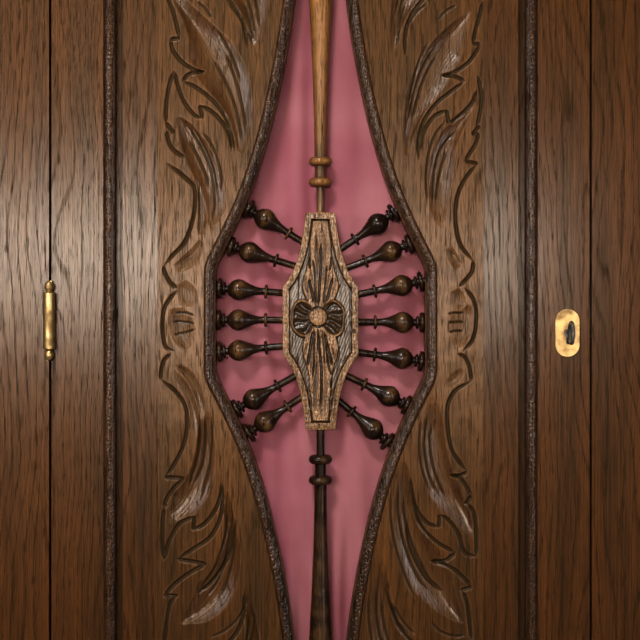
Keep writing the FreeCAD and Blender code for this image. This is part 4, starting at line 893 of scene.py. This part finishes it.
TOP_CUTS = (0, 1, 2, 3, 4)
carved_board("left", -1, LEFT_CUTS, LEFT_FLUTES, LEFT_HOLLOWS, TOP_CUTS, (23, 24, 25, 26, 27), 0.21)
carved_board("right", 1, RIGHT_CUTS, RIGHT_FLUTES, RIGHT_HOLLOWS, TOP_CUTS,
             (24, 25, 26, 27, 28), 0.64)

# %% [markdown]
# ## Punched beads
# Two beads are textured with a round punch, struck close together but by hand: the one round
# the opening and the one that frames the whole panel. Dimples on a jittered grid give that
# in the mesh itself, so the light breaks on them from any side.

# %% Dimples of a hand punch
def scatter(cell_a, cell_b, seed):
    """A repeatable random number from 0 to 1 for each cell of a grid."""
    return np.modf(np.abs(np.sin(cell_a * 12.9898 + cell_b * 78.233 + seed) * 43758.5453))[0]


def dimples(a, b, spacing, radius, seed):
    """How deep a round punch has pressed at points (a, b), from 0 to 1."""
    cell_a, cell_b = np.floor(a / spacing), np.floor(b / spacing)
    pressed = np.zeros_like(a)
    for i in (-1, 0, 1):
        for j in (-1, 0, 1):
            ca, cb = cell_a + i, cell_b + j
            middle_a = (ca + 0.15 + 0.7 * scatter(ca, cb, seed)) * spacing
            middle_b = (cb + 0.15 + 0.7 * scatter(ca, cb, seed + 9.1)) * spacing
            away = np.hypot(a - middle_a, b - middle_b) / radius
            pressed = np.maximum(pressed, 1 - away**2)
    return np.clip(pressed, 0, 1)


PUNCH_SPACING, PUNCH_RADIUS, PUNCH_DEPTH = 2.4, 1.25, 0.5


def punched(along, across, seed):
    """How deep the punch has pressed on a bead, whose two edges stay plain."""
    edge = np.clip(np.minimum(across, BEAD_WIDTH - across) / 2.0, 0, 1)
    return dimples(along, across, PUNCH_SPACING, PUNCH_RADIUS, seed) * edge


print("punch marks every", PUNCH_SPACING, "mm")

# %% [markdown]
# ## The bead round the opening
# The bead is a grid that runs up the opening's outline: a row at each station of the outline
# and a column at each step of its round section. Its inner edge and its crest are rubbed.

# %% The bead round the opening
BEAD_PROFILE = [(0.0, -1.5), (1.2, -0.4), (3.0, 0.8), (5.0, 1.9), (7.2, 2.7), (9.1, 3.0),
                (10.6, 2.8), (11.8, 2.1), (12.6, 1.1), (13.0, 0.0)]


def opening_bead(side_name, side, shift):
    """One half of the punched bead, from the lower tip to the upper tip."""
    path = smooth_line(outline[::6], 1.0)
    path[0], path[-1] = (0, -TIP), (0, TIP)
    tangent = np.gradient(path, axis=0)
    tangent /= np.hypot(*tangent.T)[:, None]
    for _ in range(3):
        tangent[1:-1] = (tangent[:-2] + tangent[1:-1] * 2 + tangent[2:]) / 4
    normal = np.stack([tangent[:, 1], -tangent[:, 0]], axis=1)
    normal[0], normal[-1] = (0, -1), (0, 1)
    normal /= np.hypot(*normal.T)[:, None]
    across = np.linspace(0, BEAD_WIDTH, 19)
    rise = np.interp(across, *np.array(BEAD_PROFILE).T)
    along = np.concatenate([[0], np.cumsum(np.hypot(*np.diff(path, axis=0).T))])
    a, t = np.meshgrid(along, across, indexing="ij")
    pressed = punched(a, t, 3.0 + side)
    lifted = rise - PUNCH_DEPTH * pressed
    x = np.maximum(path[:, :1] + normal[:, :1] * t, 0)
    z = path[:, 1:] + normal[:, 1:] * t
    top = on_door(side * x, Y_FACE - lifted * MM, z)
    crest = np.maximum(np.clip((rise - 1.9) / 1.1, 0, 1), 1.3 * (t < 0.9)) * (1 - pressed)
    marks = {"hollow": pressed * 0.7, "wear_and_light": crest * 0.35}
    print("bead", side_name, len(path), "stations")
    relief("opening_bead_punched_" + side_name, [(top, marks, side < 0)],
           Y_FACE + SEAT_DEPTH * MM, oak_black, "opening_bead_" + side_name, shift,
           sharp=70)


opening_bead("left", -1, 0.3)
opening_bead("right", 1, 0.8)

# %% [markdown]
# ## The bead that frames the panel
# Four mitred lengths of the same punched bead frame the panel. The upright and the level ones
# are two pieces, because their grain runs two ways.

# %% The bead that frames the panel
frame_low, frame_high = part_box("frame_bead")
FRAME_RISE = (Y_DOOR - frame_low.y) / MM
FRAME_X, FRAME_Z = frame_high.x / MM - BEAD_WIDTH, (frame_high.z - Z_MID) / MM - BEAD_WIDTH
FRAME_FOOT = frame_high.y


def frame_length(way, level):
    """The grid of one mitred length: way is its side, and level is for a top or a foot."""
    half, away = (FRAME_X, FRAME_Z) if level else (FRAME_Z, FRAME_X)
    stations = int(2 * (half + BEAD_WIDTH) / 1.25)
    share = np.linspace(-1, 1, stations)
    across = np.linspace(0, BEAD_WIDTH, 15)
    s, t = np.meshgrid(share, across, indexing="ij")
    a = s * (half + t)
    rise = FRAME_RISE * np.sin(math.pi * t / BEAD_WIDTH)
    pressed = punched(a, t, 7.0 * way + level)
    b = way * (away + t)
    x, z = (a, b) if level else (b, a)
    top = on_door(x, Y_DOOR - (rise - PUNCH_DEPTH * pressed) * MM, z)
    crest = np.clip(rise / FRAME_RISE - 0.5, 0, 1) * (1 - pressed)
    return top, {"hollow": pressed * 0.7, "wear_and_light": crest}, (way > 0) == level


for piece_name, level, material in (("frame_bead_punched_upright", False, oak_black),
                                    ("frame_bead_punched_level", True, oak_black_level)):
    relief(piece_name, [frame_length(way, level) for way in (-1, 1)], FRAME_FOOT, material,
           "frame_bead", sharp=70)
print("frame bead", round(2 * FRAME_X, 1), "by", round(2 * FRAME_Z, 1), "mm inside")

# %% [markdown]
# ## The plaque
# The small plaque is cut more deeply than the boards and from paler wood. The carver leaves a
# flat rim, sinks the ground inside it, and keeps three things standing: a fluted leaf above, a
# fluted leaf below, and a flower of two hollow petals round a button.

# %% The plaque's outline and sizes
plaque_low, plaque_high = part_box("plaque")
PLAQUE_Z = (plaque_high.z - Z_MID) / MM
PLAQUE_RIM = 6.8
Y_RIM = plaque_low.y + 1.0 * MM
GROUND = 4.2
FLOWER = (-2.6, 4.4)
LEAF_HALF = [(0, 8), (9, 12), (23, 17), (29, 19), (36, 20.5), (45, 18.8), (51, 15.5), (56, 14.6),
             (66, 13.4), (76, 12.2), (86, 11), (106, 9.5)]
PETAL_MIDDLE, PETAL_SIZE = (16.5, -1.5), (13.2, 22.0)
BUTTON = 10.2
RIDGE_TURN = math.radians(27)
plaque_rows = np.unique(np.round(np.linspace(-PLAQUE_Z, PLAQUE_Z, 380), 3))
inside_rows = np.clip(plaque_rows, -PLAQUE_Z + 0.05, PLAQUE_Z - 0.05)
plaque_half = reach_at("plaque", inside_rows, np.max)
print("plaque rows", len(plaque_rows))

# %% [markdown]
# ## The plaque's strokes
# Each cut and each hollow is a line, its half width and its depth. They run from the middle of
# the plaque to its ends.

# %% The plaque's strokes
PLAQUE_CUTS = [
    ([(0.2, 86), (0.6, 66), (-0.6, 45), (-2.4, 16)], 1.8, 2.2),
    ([(-9, 68), (-6.8, 58), (-5.6, 42), (-6, 18)], 1.5, 1.8),
    ([(-12.5, 47), (-11.2, 39), (-8.6, 29), (-7.4, 20)], 1.9, 2.2),
    ([(7.4, 61), (6, 50), (4.8, 35), (3, 18)], 1.4, 1.6),
    ([(13.4, 47), (11.2, 39), (8.8, 29), (6.6, 20)], 1.9, 2.2),
    ([(-13.2, 72), (-12.6, 64), (-11.4, 57)], 1.6, 2.4),
    ([(11.6, 71), (11.4, 63), (9.8, 55)], 1.3, 2.0),
    ([(-3, -8), (-1.4, -30), (0.8, -50), (1.2, -70), (0.2, -96)], 1.8, 2.2),
    ([(-6.4, -10), (-7.2, -30), (-7.2, -46), (-8.8, -64)], 1.4, 1.8),
    ([(-8, -10), (-11, -29), (-12.6, -40), (-13.4, -49)], 1.9, 2.2),
    ([(1.6, -10), (3.6, -30), (4.4, -48)], 1.1, 1.2),
    ([(4, -12), (8.4, -30), (11, -40), (13.4, -50)], 1.9, 2.2),
    ([(5.6, -24), (7.6, -39), (9.4, -52), (13.4, -61)], 1.5, 1.8),
    ([(-15.4, -48), (-17, -58), (-16.2, -70)], 1.8, 2.4),
    ([(12.8, -61), (11.4, -74)], 1.5, 2.0),
]
PLAQUE_HOLLOWS = [
    ([(-4.5, 104), (-4.8, 80), (-3.6, 60), (-3.6, 30)], 3.4, 2.0),
    ([(4.5, 104), (4.8, 80), (3.6, 60), (1.6, 30)], 2.8, 1.5),
    ([(-10.4, 58), (-9.2, 44), (-7, 28)], 2.0, 1.6),
    ([(9.8, 56), (8.4, 42), (6, 28)], 2.0, 1.6),
    ([(-16.6, 52), (-16, 40), (-12, 26)], 2.4, 1.5),
    ([(16.6, 50), (15.8, 38), (11, 25)], 2.4, 1.5),
    ([(-5.2, -104), (-6, -80), (-4.4, -58), (-4.4, -28)], 3.8, 2.1),
    ([(5, -104), (5.4, -80), (5.4, -62), (3, -38)], 2.8, 1.5),
    ([(-10.6, -62), (-10, -44), (-9, -28)], 2.0, 1.6),
    ([(-18.6, -46), (-17.8, -36), (-12.6, -22)], 2.6, 1.5),
    ([(16.6, -48), (15.4, -38), (10.6, -24)], 2.4, 1.5),
    ([(8.4, -48), (6.6, -34)], 1.6, 1.4),
]
print("plaque strokes", len(PLAQUE_CUTS) + len(PLAQUE_HOLLOWS))

# %% [markdown]
# ## The plaque's height
# The height is worked out in the carver's order: the ground first, then the leaf on it, then
# the petals, then the button. Each layer ends in a wall one millimetre wide.

# %% The plaque's height
def laid_over(under, over, inside):
    """Lays one depth over another where inside is positive, with a one millimetre wall."""
    return under + (over - under) * np.clip(inside, 0, 1)


def plaque_depth(x, z, edge):
    """How deep the plaque's face lies behind its rim, and how dark it is: stain and painted shade.
    """
    fx, fz = x - FLOWER[0], z - FLOWER[1]
    side, up = np.abs(fx), np.abs(fz)
    depth = laid_over(np.zeros_like(x), np.full_like(x, GROUND), edge - PLAQUE_RIM)
    # Painted shadow in the groove along the rim's wall, and a darker stain on the sunk ground.
    mark = np.clip(1.6 - np.abs(edge - PLAQUE_RIM - 1.2) / 1.1, 0, 1)
    mark = np.maximum(mark, 0.7 * np.clip((edge - PLAQUE_RIM) / 2, 0, 1))
    half = np.interp(up, *np.array(LEAF_HALF, float).T) + 0.5 * np.sin(z / 4.3)
    leaf = np.full_like(x, 0.5)
    for line, width, deepest in PLAQUE_HOLLOWS:
        widths = (width * 0.6, width, width * 0.5)
        scoop(x, z, leaf, line, widths, widths, deepest)
    # The leaf's deeper scoops are darkened with painted shade.
    leaf_mark = 0.5 * np.clip(leaf - 0.8, 0, 1)
    for line, width, deepest in PLAQUE_CUTS:
        cut(x, z, leaf, leaf_mark, line, width, deepest)
    in_leaf = np.minimum(half - np.abs(x), edge - PLAQUE_RIM - 1.8)
    depth = laid_over(depth, leaf, in_leaf)
    mark = np.where(in_leaf > 0.3, leaf_mark, mark)
    across, climb = side - PETAL_MIDDLE[0], fz - PETAL_MIDDLE[1]
    bowl = np.hypot(across / PETAL_SIZE[0], climb / PETAL_SIZE[1])
    bowl *= 1 + 0.05 * np.cos(4 * np.arctan2(climb, across) + 0.8 * np.sign(fx))
    angle = np.arctan2(fz, side) + 0.06 * np.sin(side / 3) * np.sign(fx)
    ridge = np.abs(np.cos(math.pi * (angle - 0.15) / RIDGE_TURN))**0.7
    hollow = 0.6 + np.clip((0.9 - bowl) * 9, 0, 1) * (1.9 + 2.0 * ridge)
    in_petal = (1 - bowl) * PETAL_SIZE[0]
    depth = laid_over(depth, hollow, in_petal)
    # The petals' hollows get painted shade.
    mark = np.where(in_petal > 0, np.clip((0.88 - bowl) * 9, 0, 0.7 + 0.3 * ridge), mark)
    nail = np.clip(2.9 - np.hypot(x - 37, z + 11), 0, 1)
    depth += 0.5 * nail
    mark = np.maximum(mark, 0.9 * nail)
    away = np.hypot(fx, fz)
    dome = 0.9 - 1.7 * np.sqrt(np.clip(1 - (away / (BUTTON + 0.6))**2, 0, 1))
    depth = np.where(away < BUTTON + 1.6, laid_over(np.maximum(depth, GROUND), dome,
                                                    BUTTON - away), depth)
    # A ring of painted shade round the button.
    mark = np.where(away < BUTTON + 1.8, np.clip((away - BUTTON + 1.0) / 0.8, 0, 1), mark)
    return depth, mark


# %% [markdown]
# ## Making the plaque
# The grid of the plaque follows its own outline. Small facets of the gouge roughen the ground,
# pits of the worm and the punch mark the rim, and the wood is worn where it stands highest.

# %% Making the plaque
PLAQUE_COLUMNS = 140


def carved_plaque():
    """The plaque as one closed piece with its carved face."""
    rows, columns = len(plaque_rows), PLAQUE_COLUMNS
    share = np.linspace(-1, 1, columns)
    x = (plaque_half[:, None] * share).ravel()
    z = np.repeat(plaque_rows, columns)
    around = np.vstack([np.stack([plaque_half, plaque_rows], axis=1),
                        np.stack([-plaque_half, plaque_rows], axis=1)[::-1]])
    around = np.vstack([around, around[:1]])
    edge = np.full(len(x), FAR)
    near, away, _ = beside(x, z, around[::2], PLAQUE_REACH)
    edge[near] = np.abs(away)
    depth, mark = plaque_depth(x, z, edge)
    inside = edge > PLAQUE_RIM + 3
    facets = 0.26 * np.abs(np.sin(z * 0.9 + x * 2.1) * np.sin(z * 0.37 - x)) * inside
    depth = depth + facets + 0.7 * np.clip(1 - edge, 0, 1)**2
    detail = local_detail(depth, rows, columns)
    pits = dimples(x, z / 2.4, 2.0, 0.8, 5.0) * (depth < 1.6)
    depth += 0.3 * pits + 0.12 * np.abs(np.sin(z / 5.3) + np.sin(z / 3.1)) * ~inside
    # Dips get painted shade and the pits hold dirt.
    hollow = np.clip(mark + np.clip(detail * 0.35, 0, 0.35) + 0.6 * pits, 0, 1)
    wear_and_light = np.clip(1.0 - depth / 2.2, 0, 0.62) * inside + np.clip(-detail * 0.9, 0, 0.9)
    wear_and_light = np.clip(wear_and_light + 0.45 * ~inside + 0.4 * np.clip(1 - edge / 2, 0, 1), 0, 1)
    front = on_door(x, Y_RIM + depth * MM, z)
    deep = np.clip(depth / FULL_DEPTH, 0, 0.6) * (mark < 0.4)
    marks = {"hollow": hollow, "wear_and_light": wear_and_light, "deep": deep,
             "polish": np.clip(depth / 2, 0, 1) * inside}
    print("plaque", rows, "rows, deepest", round(depth.max(), 1))
    relief("plaque_carved", [(front.reshape(rows, columns, 3), marks, False)], plaque_high.y,
           oak_tan, "plaque", sharp=60)


carved_plaque()

# %% [markdown]
# ## Turned spindles
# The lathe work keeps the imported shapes. Each spindle is copied so that it can carry its own
# wear: the stain is rubbed through where the bulb stands proud and survives in the necks and
# beside the rings. Its grain runs along its own axis.

# %% Wearing the spindles
def worn_spindle(node, rub, shift, gather=4.0, wood=oak_turned, rings=0.8, small=False):
    """A copy of one spindle that knows how far each point stands from its axis."""
    mesh = nodes[node].data.copy()
    mesh.name = node + "_worn"
    points = points_of(mesh)
    middle = points.mean(axis=0)
    axis = np.linalg.svd(points - middle, full_matrices=False)[2][0]
    along = (points - middle) @ axis
    away = np.linalg.norm(points - middle - np.outer(along, axis), axis=1)
    swell = np.clip(away / away.max(), 0, 1)
    facing = np.clip((middle[1] - points[:, 1]) / np.maximum(away, 1e-4), 0, 1)
    place = ((along - along.min()) / MM).astype(int)
    reach = np.zeros(place.max() + 1)
    np.maximum.at(reach, place, away)
    calm = np.convolve(np.pad(reach, 4, mode="edge"), np.full(9, 1 / 9), "valid")
    ring = np.clip((reach - calm)[place] / (1.5 * MM), 0, 1)
    ring *= np.clip(away / reach[place] * 9 - 8, 0, 1)
    stacked = np.clip(np.abs(np.gradient(reach)) / 0.0007 - 0.3, 0, 1)
    stacked = np.convolve(np.pad(stacked, 3, mode="edge"), np.full(7, 1 / 7), "valid")[place]
    rubbed_and_lit = np.maximum(swell**gather * (1 - 0.8 * np.clip(stacked * 2 - 0.4, 0, 1)), rings * ring)
    if small:
        from_bead = (np.abs(points[:, 0]).max() - np.abs(points[:, 0])) / MM
        rubbed_and_lit *= np.clip((from_bead - 19) / 6, 0.12, 1)
    put_marks(mesh, {"wear_and_light": rub * rubbed_and_lit * (0.2 + 0.8 * facing**1.5),
                     "hollow": 0.7 * stacked * (1 - ring), "board": np.full(len(points), shift)})
    coat_with(mesh, wood)
    dress(node + "_worn", mesh, "door", node)


RUBBED = {"left": (0.75, 0.9, 0.8, 0.7, 0.75, 0.65, 0.7),
          "right": (0.0, 0.7, 0.75, 0.65, 0.5, 0.6, 0.6)}
for side_name, rubs in RUBBED.items():
    for number, rub in enumerate(rubs, start=1):
        worn_spindle(f"spindle_{side_name}_{number}", rub, (number * 0.37) % 1, small=True)
worn_spindle("long_spindle_upper", 1.1, 0.15, gather=0.8, wood=oak_golden, rings=0.4)
worn_spindle("long_spindle_lower", 0.3, 0.55, gather=0.8)
print("spindles", sum(map(len, RUBBED.values())) + 2)

# %% [markdown]
# ## Curtain cloth
# A dusty pink cotton sateen: a close weave that only shows as a faint rib, a soft sheen at a
# grazing angle, and a little fading. The weave is a group of two crossed waves.

# %% The weave group and the cloth
THREADS = 5200.0
weave, weave_in, weave_out = group("weave", [("Position", "Vector", None)],
                                   [("Height", "Float"), ("Slub", "Float")])
threads = step(weave, "ShaderNodeSeparateXYZ", links={"Vector": weave_in.outputs["Position"]})
warp, weft = [maths(weave, "SINE", maths(weave, "MULTIPLY", threads.outputs[axis], THREADS))
              for axis in ("X", "Z")]
weave.links.new(maths(weave, "MULTIPLY_ADD", warp, 0.5, maths(weave, "MULTIPLY", weft, 0.3)),
                weave_out.inputs["Height"])
slub = noise(weave, stretched(weave, weave_in.outputs["Position"], (260, 260, 900)), 1.0, 2)
weave.links.new(slub, weave_out.inputs["Slub"])

cloth, tree, sateen = new_material("pink_sateen")
where = step(tree, "ShaderNodeTexCoord").outputs["Object"]
woven = step(tree, "ShaderNodeGroup", node_tree=weave)
fill(tree, woven, {}, {"Position": where})
faded = spread(tree, noise(tree, where, 9.0, 3), 0.3, 0.7)
pink = blend(tree, faded, (0.205, 0.048, 0.066), (0.280, 0.092, 0.108))
pink = blend(tree, maths(tree, "MULTIPLY", woven.outputs["Slub"], 0.25), pink, (0.14, 0.03, 0.046))
rib = step(tree, "ShaderNodeBump", {"Strength": 0.25, "Distance": 0.2 * MM},
           {"Height": woven.outputs["Height"]})
fill(tree, sateen, {"Roughness": 0.62, "Specular IOR Level": 0.2, "Sheen Weight": 0.08,
                    "Sheen Roughness": 0.4}, {"Base Color": pink, "Normal": rib.outputs[0]})
print("cloth", cloth.name, "with", len(tree.nodes), "nodes")

# %% [markdown]
# ## The gathered curtain
# One width of cloth is threaded on a thin brass rod at its top and another at its foot, half
# again as wide as it hangs, so it falls in soft upright folds. It is drawn directly: level
# lines that wave in depth, closer and sharper at the rods and wider and calmer in the middle,
# with a casing that goes round each rod and a small frill beyond it.

# %% The curtain's shape
_, cloth_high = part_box("curtain")
rod_low, rod_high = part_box("curtain_rods")
ROD_Y = (rod_low.y + rod_high.y) / 2
ROD_R = 3.4
ROD_TOP = (rod_high.z - Z_MID) / MM - 5.0
CLOTH_HALF = cloth_high.x / MM
FOLD_DEPTH, FOLD_LIMIT, CLOTH_LIMIT = 3.4, 4.4, 4.6


def fold_depth(x, z):
    """How far the cloth stands behind its rods' plane, in millimetres."""
    calm = np.clip(2.2 - 2.2 * np.abs(z) / ROD_TOP, 0, 1)
    wander = 0.9 * np.sin(x / 61 + 0.8) + 0.7 * np.sin(x / 37 + 2.1)
    drift = 0.8 * np.sin(z / 190 + x / 95) + 0.45 * np.sin(z / 110 - x / 60)
    gathers = np.sin(x / 3.3 + 2 * wander) + 0.3 * np.sin(x / 2.1)
    wide = np.sin(x / 8.2 + wander + drift)
    folds = wide * (1 + 0.35 * np.sin(x / 33 + 1.7)) + 0.15 * np.sin(x / 4.9 + 3 * drift)
    low = np.clip((-z - 150) / 170, 0, 1)
    narrow = np.sin(x / 4.4 + 1.3 * wander + drift) * (1 + 0.4 * np.sin(x / 19))
    folds = 0.8 * folds * (1 - low) + 1.1 * narrow * low
    depth = FOLD_DEPTH * (0.6 * gathers * (1 - calm) + folds * calm)
    return FOLD_LIMIT * np.tanh(depth / FOLD_LIMIT)


def casing(z_rod, way):
    """The cloth's line round a rod: depth shift and height, from the stitches to the frill."""
    turn = np.radians(np.linspace(-60, 90, 7))
    front = [(-math.cos(a) * ROD_R, z_rod + way * math.sin(a) * ROD_R) for a in turn]
    frill = [(-0.8, z_rod + way * 9), (0.8, z_rod + way * 9)]
    back = [(-y, z) for y, z in reversed(front)]
    return front + frill + back + [(0.4, z_rod - way * 6)]


body_z = np.linspace(-ROD_TOP + 6, ROD_TOP - 6, 190)
hanging = [(0.0, z) for z in body_z]
cloth_y, cloth_z = np.array(casing(-ROD_TOP, -1)[::-1] + hanging + casing(ROD_TOP, 1)).T
cloth_x = np.linspace(-CLOTH_HALF, CLOTH_HALF, 420)
cx, cz = np.meshgrid(cloth_x, cloth_z)
cy = np.clip(fold_depth(cx, cz) + cloth_y[:, None], -CLOTH_LIMIT, CLOTH_LIMIT) + ROD_Y / MM
cloth_points = on_door(cx, cy * MM, cz).reshape(-1, 3)
curtain = mesh_piece("curtain_gathered", cloth_points, grid_faces(*cx.shape), cloth,
                     "curtain", 80, {})

# %% [markdown]
# ## Planed boards with eased arrises
# The rest of the joinery is plain boards. Real boards never have knife edges: the maker takes
# the arris off, and use rounds it further and rubs it pale. Each node is copied, its flat
# faces are joined up again, and its corners get a small bevel whose faces are marked as worn.
# Every board also gets its own number, so that its grain and tone differ from its neighbours
# and only the points of one board are joined.

# %% Easing a node
ARRIS = 0.9
WELD = 2e-6
FLAT, SOFT, CORNER = math.radians(0.6), math.radians(28), math.radians(40)


def number_boards(bm, number):
    """Numbers the faces board by board: a board's faces come in a row and end when it closes."""
    count = 0
    unmatched = set()
    for face in bm.faces:
        corners = [tuple(round(c, 6) for c in v.co) for v in face.verts]
        for edge in zip(corners, corners[1:] + corners[:1]):
            if edge[::-1] in unmatched:
                unmatched.remove(edge[::-1])
            else:
                unmatched.add(edge)
        face[number] = count
        count += not unmatched
    return count


def eased(node, body, materials, seed):
    """A node's copy with softened corners; materials are for grain along X, Y and Z."""
    mesh = nodes[node].data.copy()
    mesh.name = node + "_eased"
    coat_with(mesh, *materials)
    bm = bmesh.new()
    bm.from_mesh(mesh)
    number = bm.faces.layers.int.new("number")
    tone = bm.faces.layers.float.new("board")
    wear = bm.faces.layers.float.new("wear_and_light")
    painted_shade = bm.faces.layers.float.new("hollow")
    count = number_boards(bm, number)
    for index in range(count):
        verts = dict.fromkeys(v for face in bm.faces if face[number] == index
                              for v in face.verts)
        bmesh.ops.remove_doubles(bm, verts=list(verts), dist=WELD)
    bmesh.ops.dissolve_limit(bm, angle_limit=FLAT, verts=bm.verts, edges=bm.edges)
    for index in range(count):
        board = [face for face in bm.faces if face[number] == index]
        points = np.array([v.co for face in board for v in face.verts])
        longest = int(np.argmax(points.max(axis=0) - points.min(axis=0)))
        shift = float(scatter(index, seed, 0.5))
        for face in board:
            face.material_index = longest
            face[tone] = shift
            # The sunk rebate beside the frame bead is given painted shade.
            if node == "panel_bands" and face.calc_center_median().y > Y_FACE + 4 * MM:
                face[painted_shade] = 0.8
            angles = [edge.calc_face_angle(0.0) for edge in face.edges if edge.is_manifold]
            face.smooth = any(FLAT < a < SOFT for a in angles)
    corners = [e for e in bm.edges if e.is_manifold and e.calc_face_angle(0.0) > CORNER
               and e.calc_length() > 4 * ARRIS * MM]
    made = bmesh.ops.bevel(bm, geom=corners, offset=ARRIS * MM, segments=2, profile=0.5,
                           affect="EDGES", clamp_overlap=True)
    for face in made["faces"]:
        face[wear] = 0.5
        face.smooth = True
    bm.to_mesh(mesh)
    bm.free()
    mesh.validate()
    print(node, "boards", count)
    dress(node + "_eased", mesh, body, node)


STAINED = (oak_level, oak_deep, oak_upright)
WAXED = (oak_plain_level, oak_plain_level, oak_plain)
BOARDS = [
    ("case", "oak_case", STAINED, ["front_post_left", "front_post_right", "rear_posts",
                                   "side_rails", "side_panels", "base_rail", "frieze_rail"]),
    ("case", "oak_inside", WAXED, ["rear_rails", "back_boards", "floor_board", "top_board",
                                   "hat_shelf", "shelf_cleats", "door_stops"]),
    ("door", "oak_door", STAINED, ["door_stile_hinge", "door_stile_lock", "door_rails",
                                   "panel_bands"]),
    ("case", "oak_case", STAINED, ["cornice", "base_moulding"]),
]
seeds = iter(range(20))
for body, slot, materials, group_nodes in BOARDS:
    for node in group_nodes:
        eased(node, body, materials, next(seeds))

# %% [markdown]
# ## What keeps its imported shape
# Feet, pegs, the hanging rail and its sockets are turned or small, so they keep their nodes
# and only get their wood.

# %% Wood for the turned and small nodes
def give(material, *names):
    """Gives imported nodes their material."""
    for name in names:
        nodes[name].data.materials[0] = material


give(oak_black, "feet", "case_pegs", "door_pegs")
give(oak_plain_level, "hanging_rail")
give(oak_plain, "rail_sockets")
print("feet, pegs and rail dressed")

# %% [markdown]
# ## Metal
# Rods, screw eyes, hinges and the escutcheon are brass that has gone dull and brown in its
# corners. The lock, its bolt, the plate on the post and the key are iron with an oiled dark
# skin, bright only where it rubs.

# %% Brass and iron
tarnish, tarnish_in, tarnish_out = group("tarnish", [("Position", "Vector", None),
                                                     ("Scale", "Float", 60.0)],
                                         [("Spots", "Float"), ("Scratches", "Float")])
cloudy = step(tarnish, "ShaderNodeTexNoise", {"Detail": 4.0},
              {"Vector": tarnish_in.outputs["Position"], "Scale": tarnish_in.outputs["Scale"]})
tarnish.links.new(spread(tarnish, cloudy.outputs[0], 0.38, 0.66), tarnish_out.inputs["Spots"])
fine = noise(tarnish, stretched(tarnish, tarnish_in.outputs["Position"], (900, 900, 120)), 1.0, 2)
tarnish.links.new(spread(tarnish, fine, 0.55, 0.75), tarnish_out.inputs["Scratches"])


def metal(name, bright, dull, rough, scale):
    """A metal material that is bright in places and dull in others."""
    material, tree, shader = new_material(name)
    where = step(tree, "ShaderNodeTexCoord").outputs["Object"]
    skin = step(tree, "ShaderNodeGroup", node_tree=tarnish)
    fill(tree, skin, {"Scale": scale}, {"Position": where})
    gloss = maths(tree, "MULTIPLY_ADD", skin.outputs["Spots"], 0.22, rough)
    fill(tree, shader, {"Metallic": 1.0},
         {"Base Color": blend(tree, skin.outputs["Spots"], bright, dull),
          "Roughness": maths(tree, "MULTIPLY_ADD", skin.outputs["Scratches"], 0.12, gloss)})
    return material


brass = metal("aged_brass", (0.52, 0.36, 0.15), (0.20, 0.12, 0.05), 0.34, 70.0)
iron = metal("oiled_iron", (0.24, 0.22, 0.20), (0.07, 0.06, 0.055), 0.42, 90.0)
give(brass, "curtain_rods", "curtain_hooks", "escutcheon", "hinge_leaves_case",
     "hinge_leaves_door", "hinge_pins")
give(iron, "lock_case", "lock_bolt", "strike_plate", "key")
print("metal dressed")
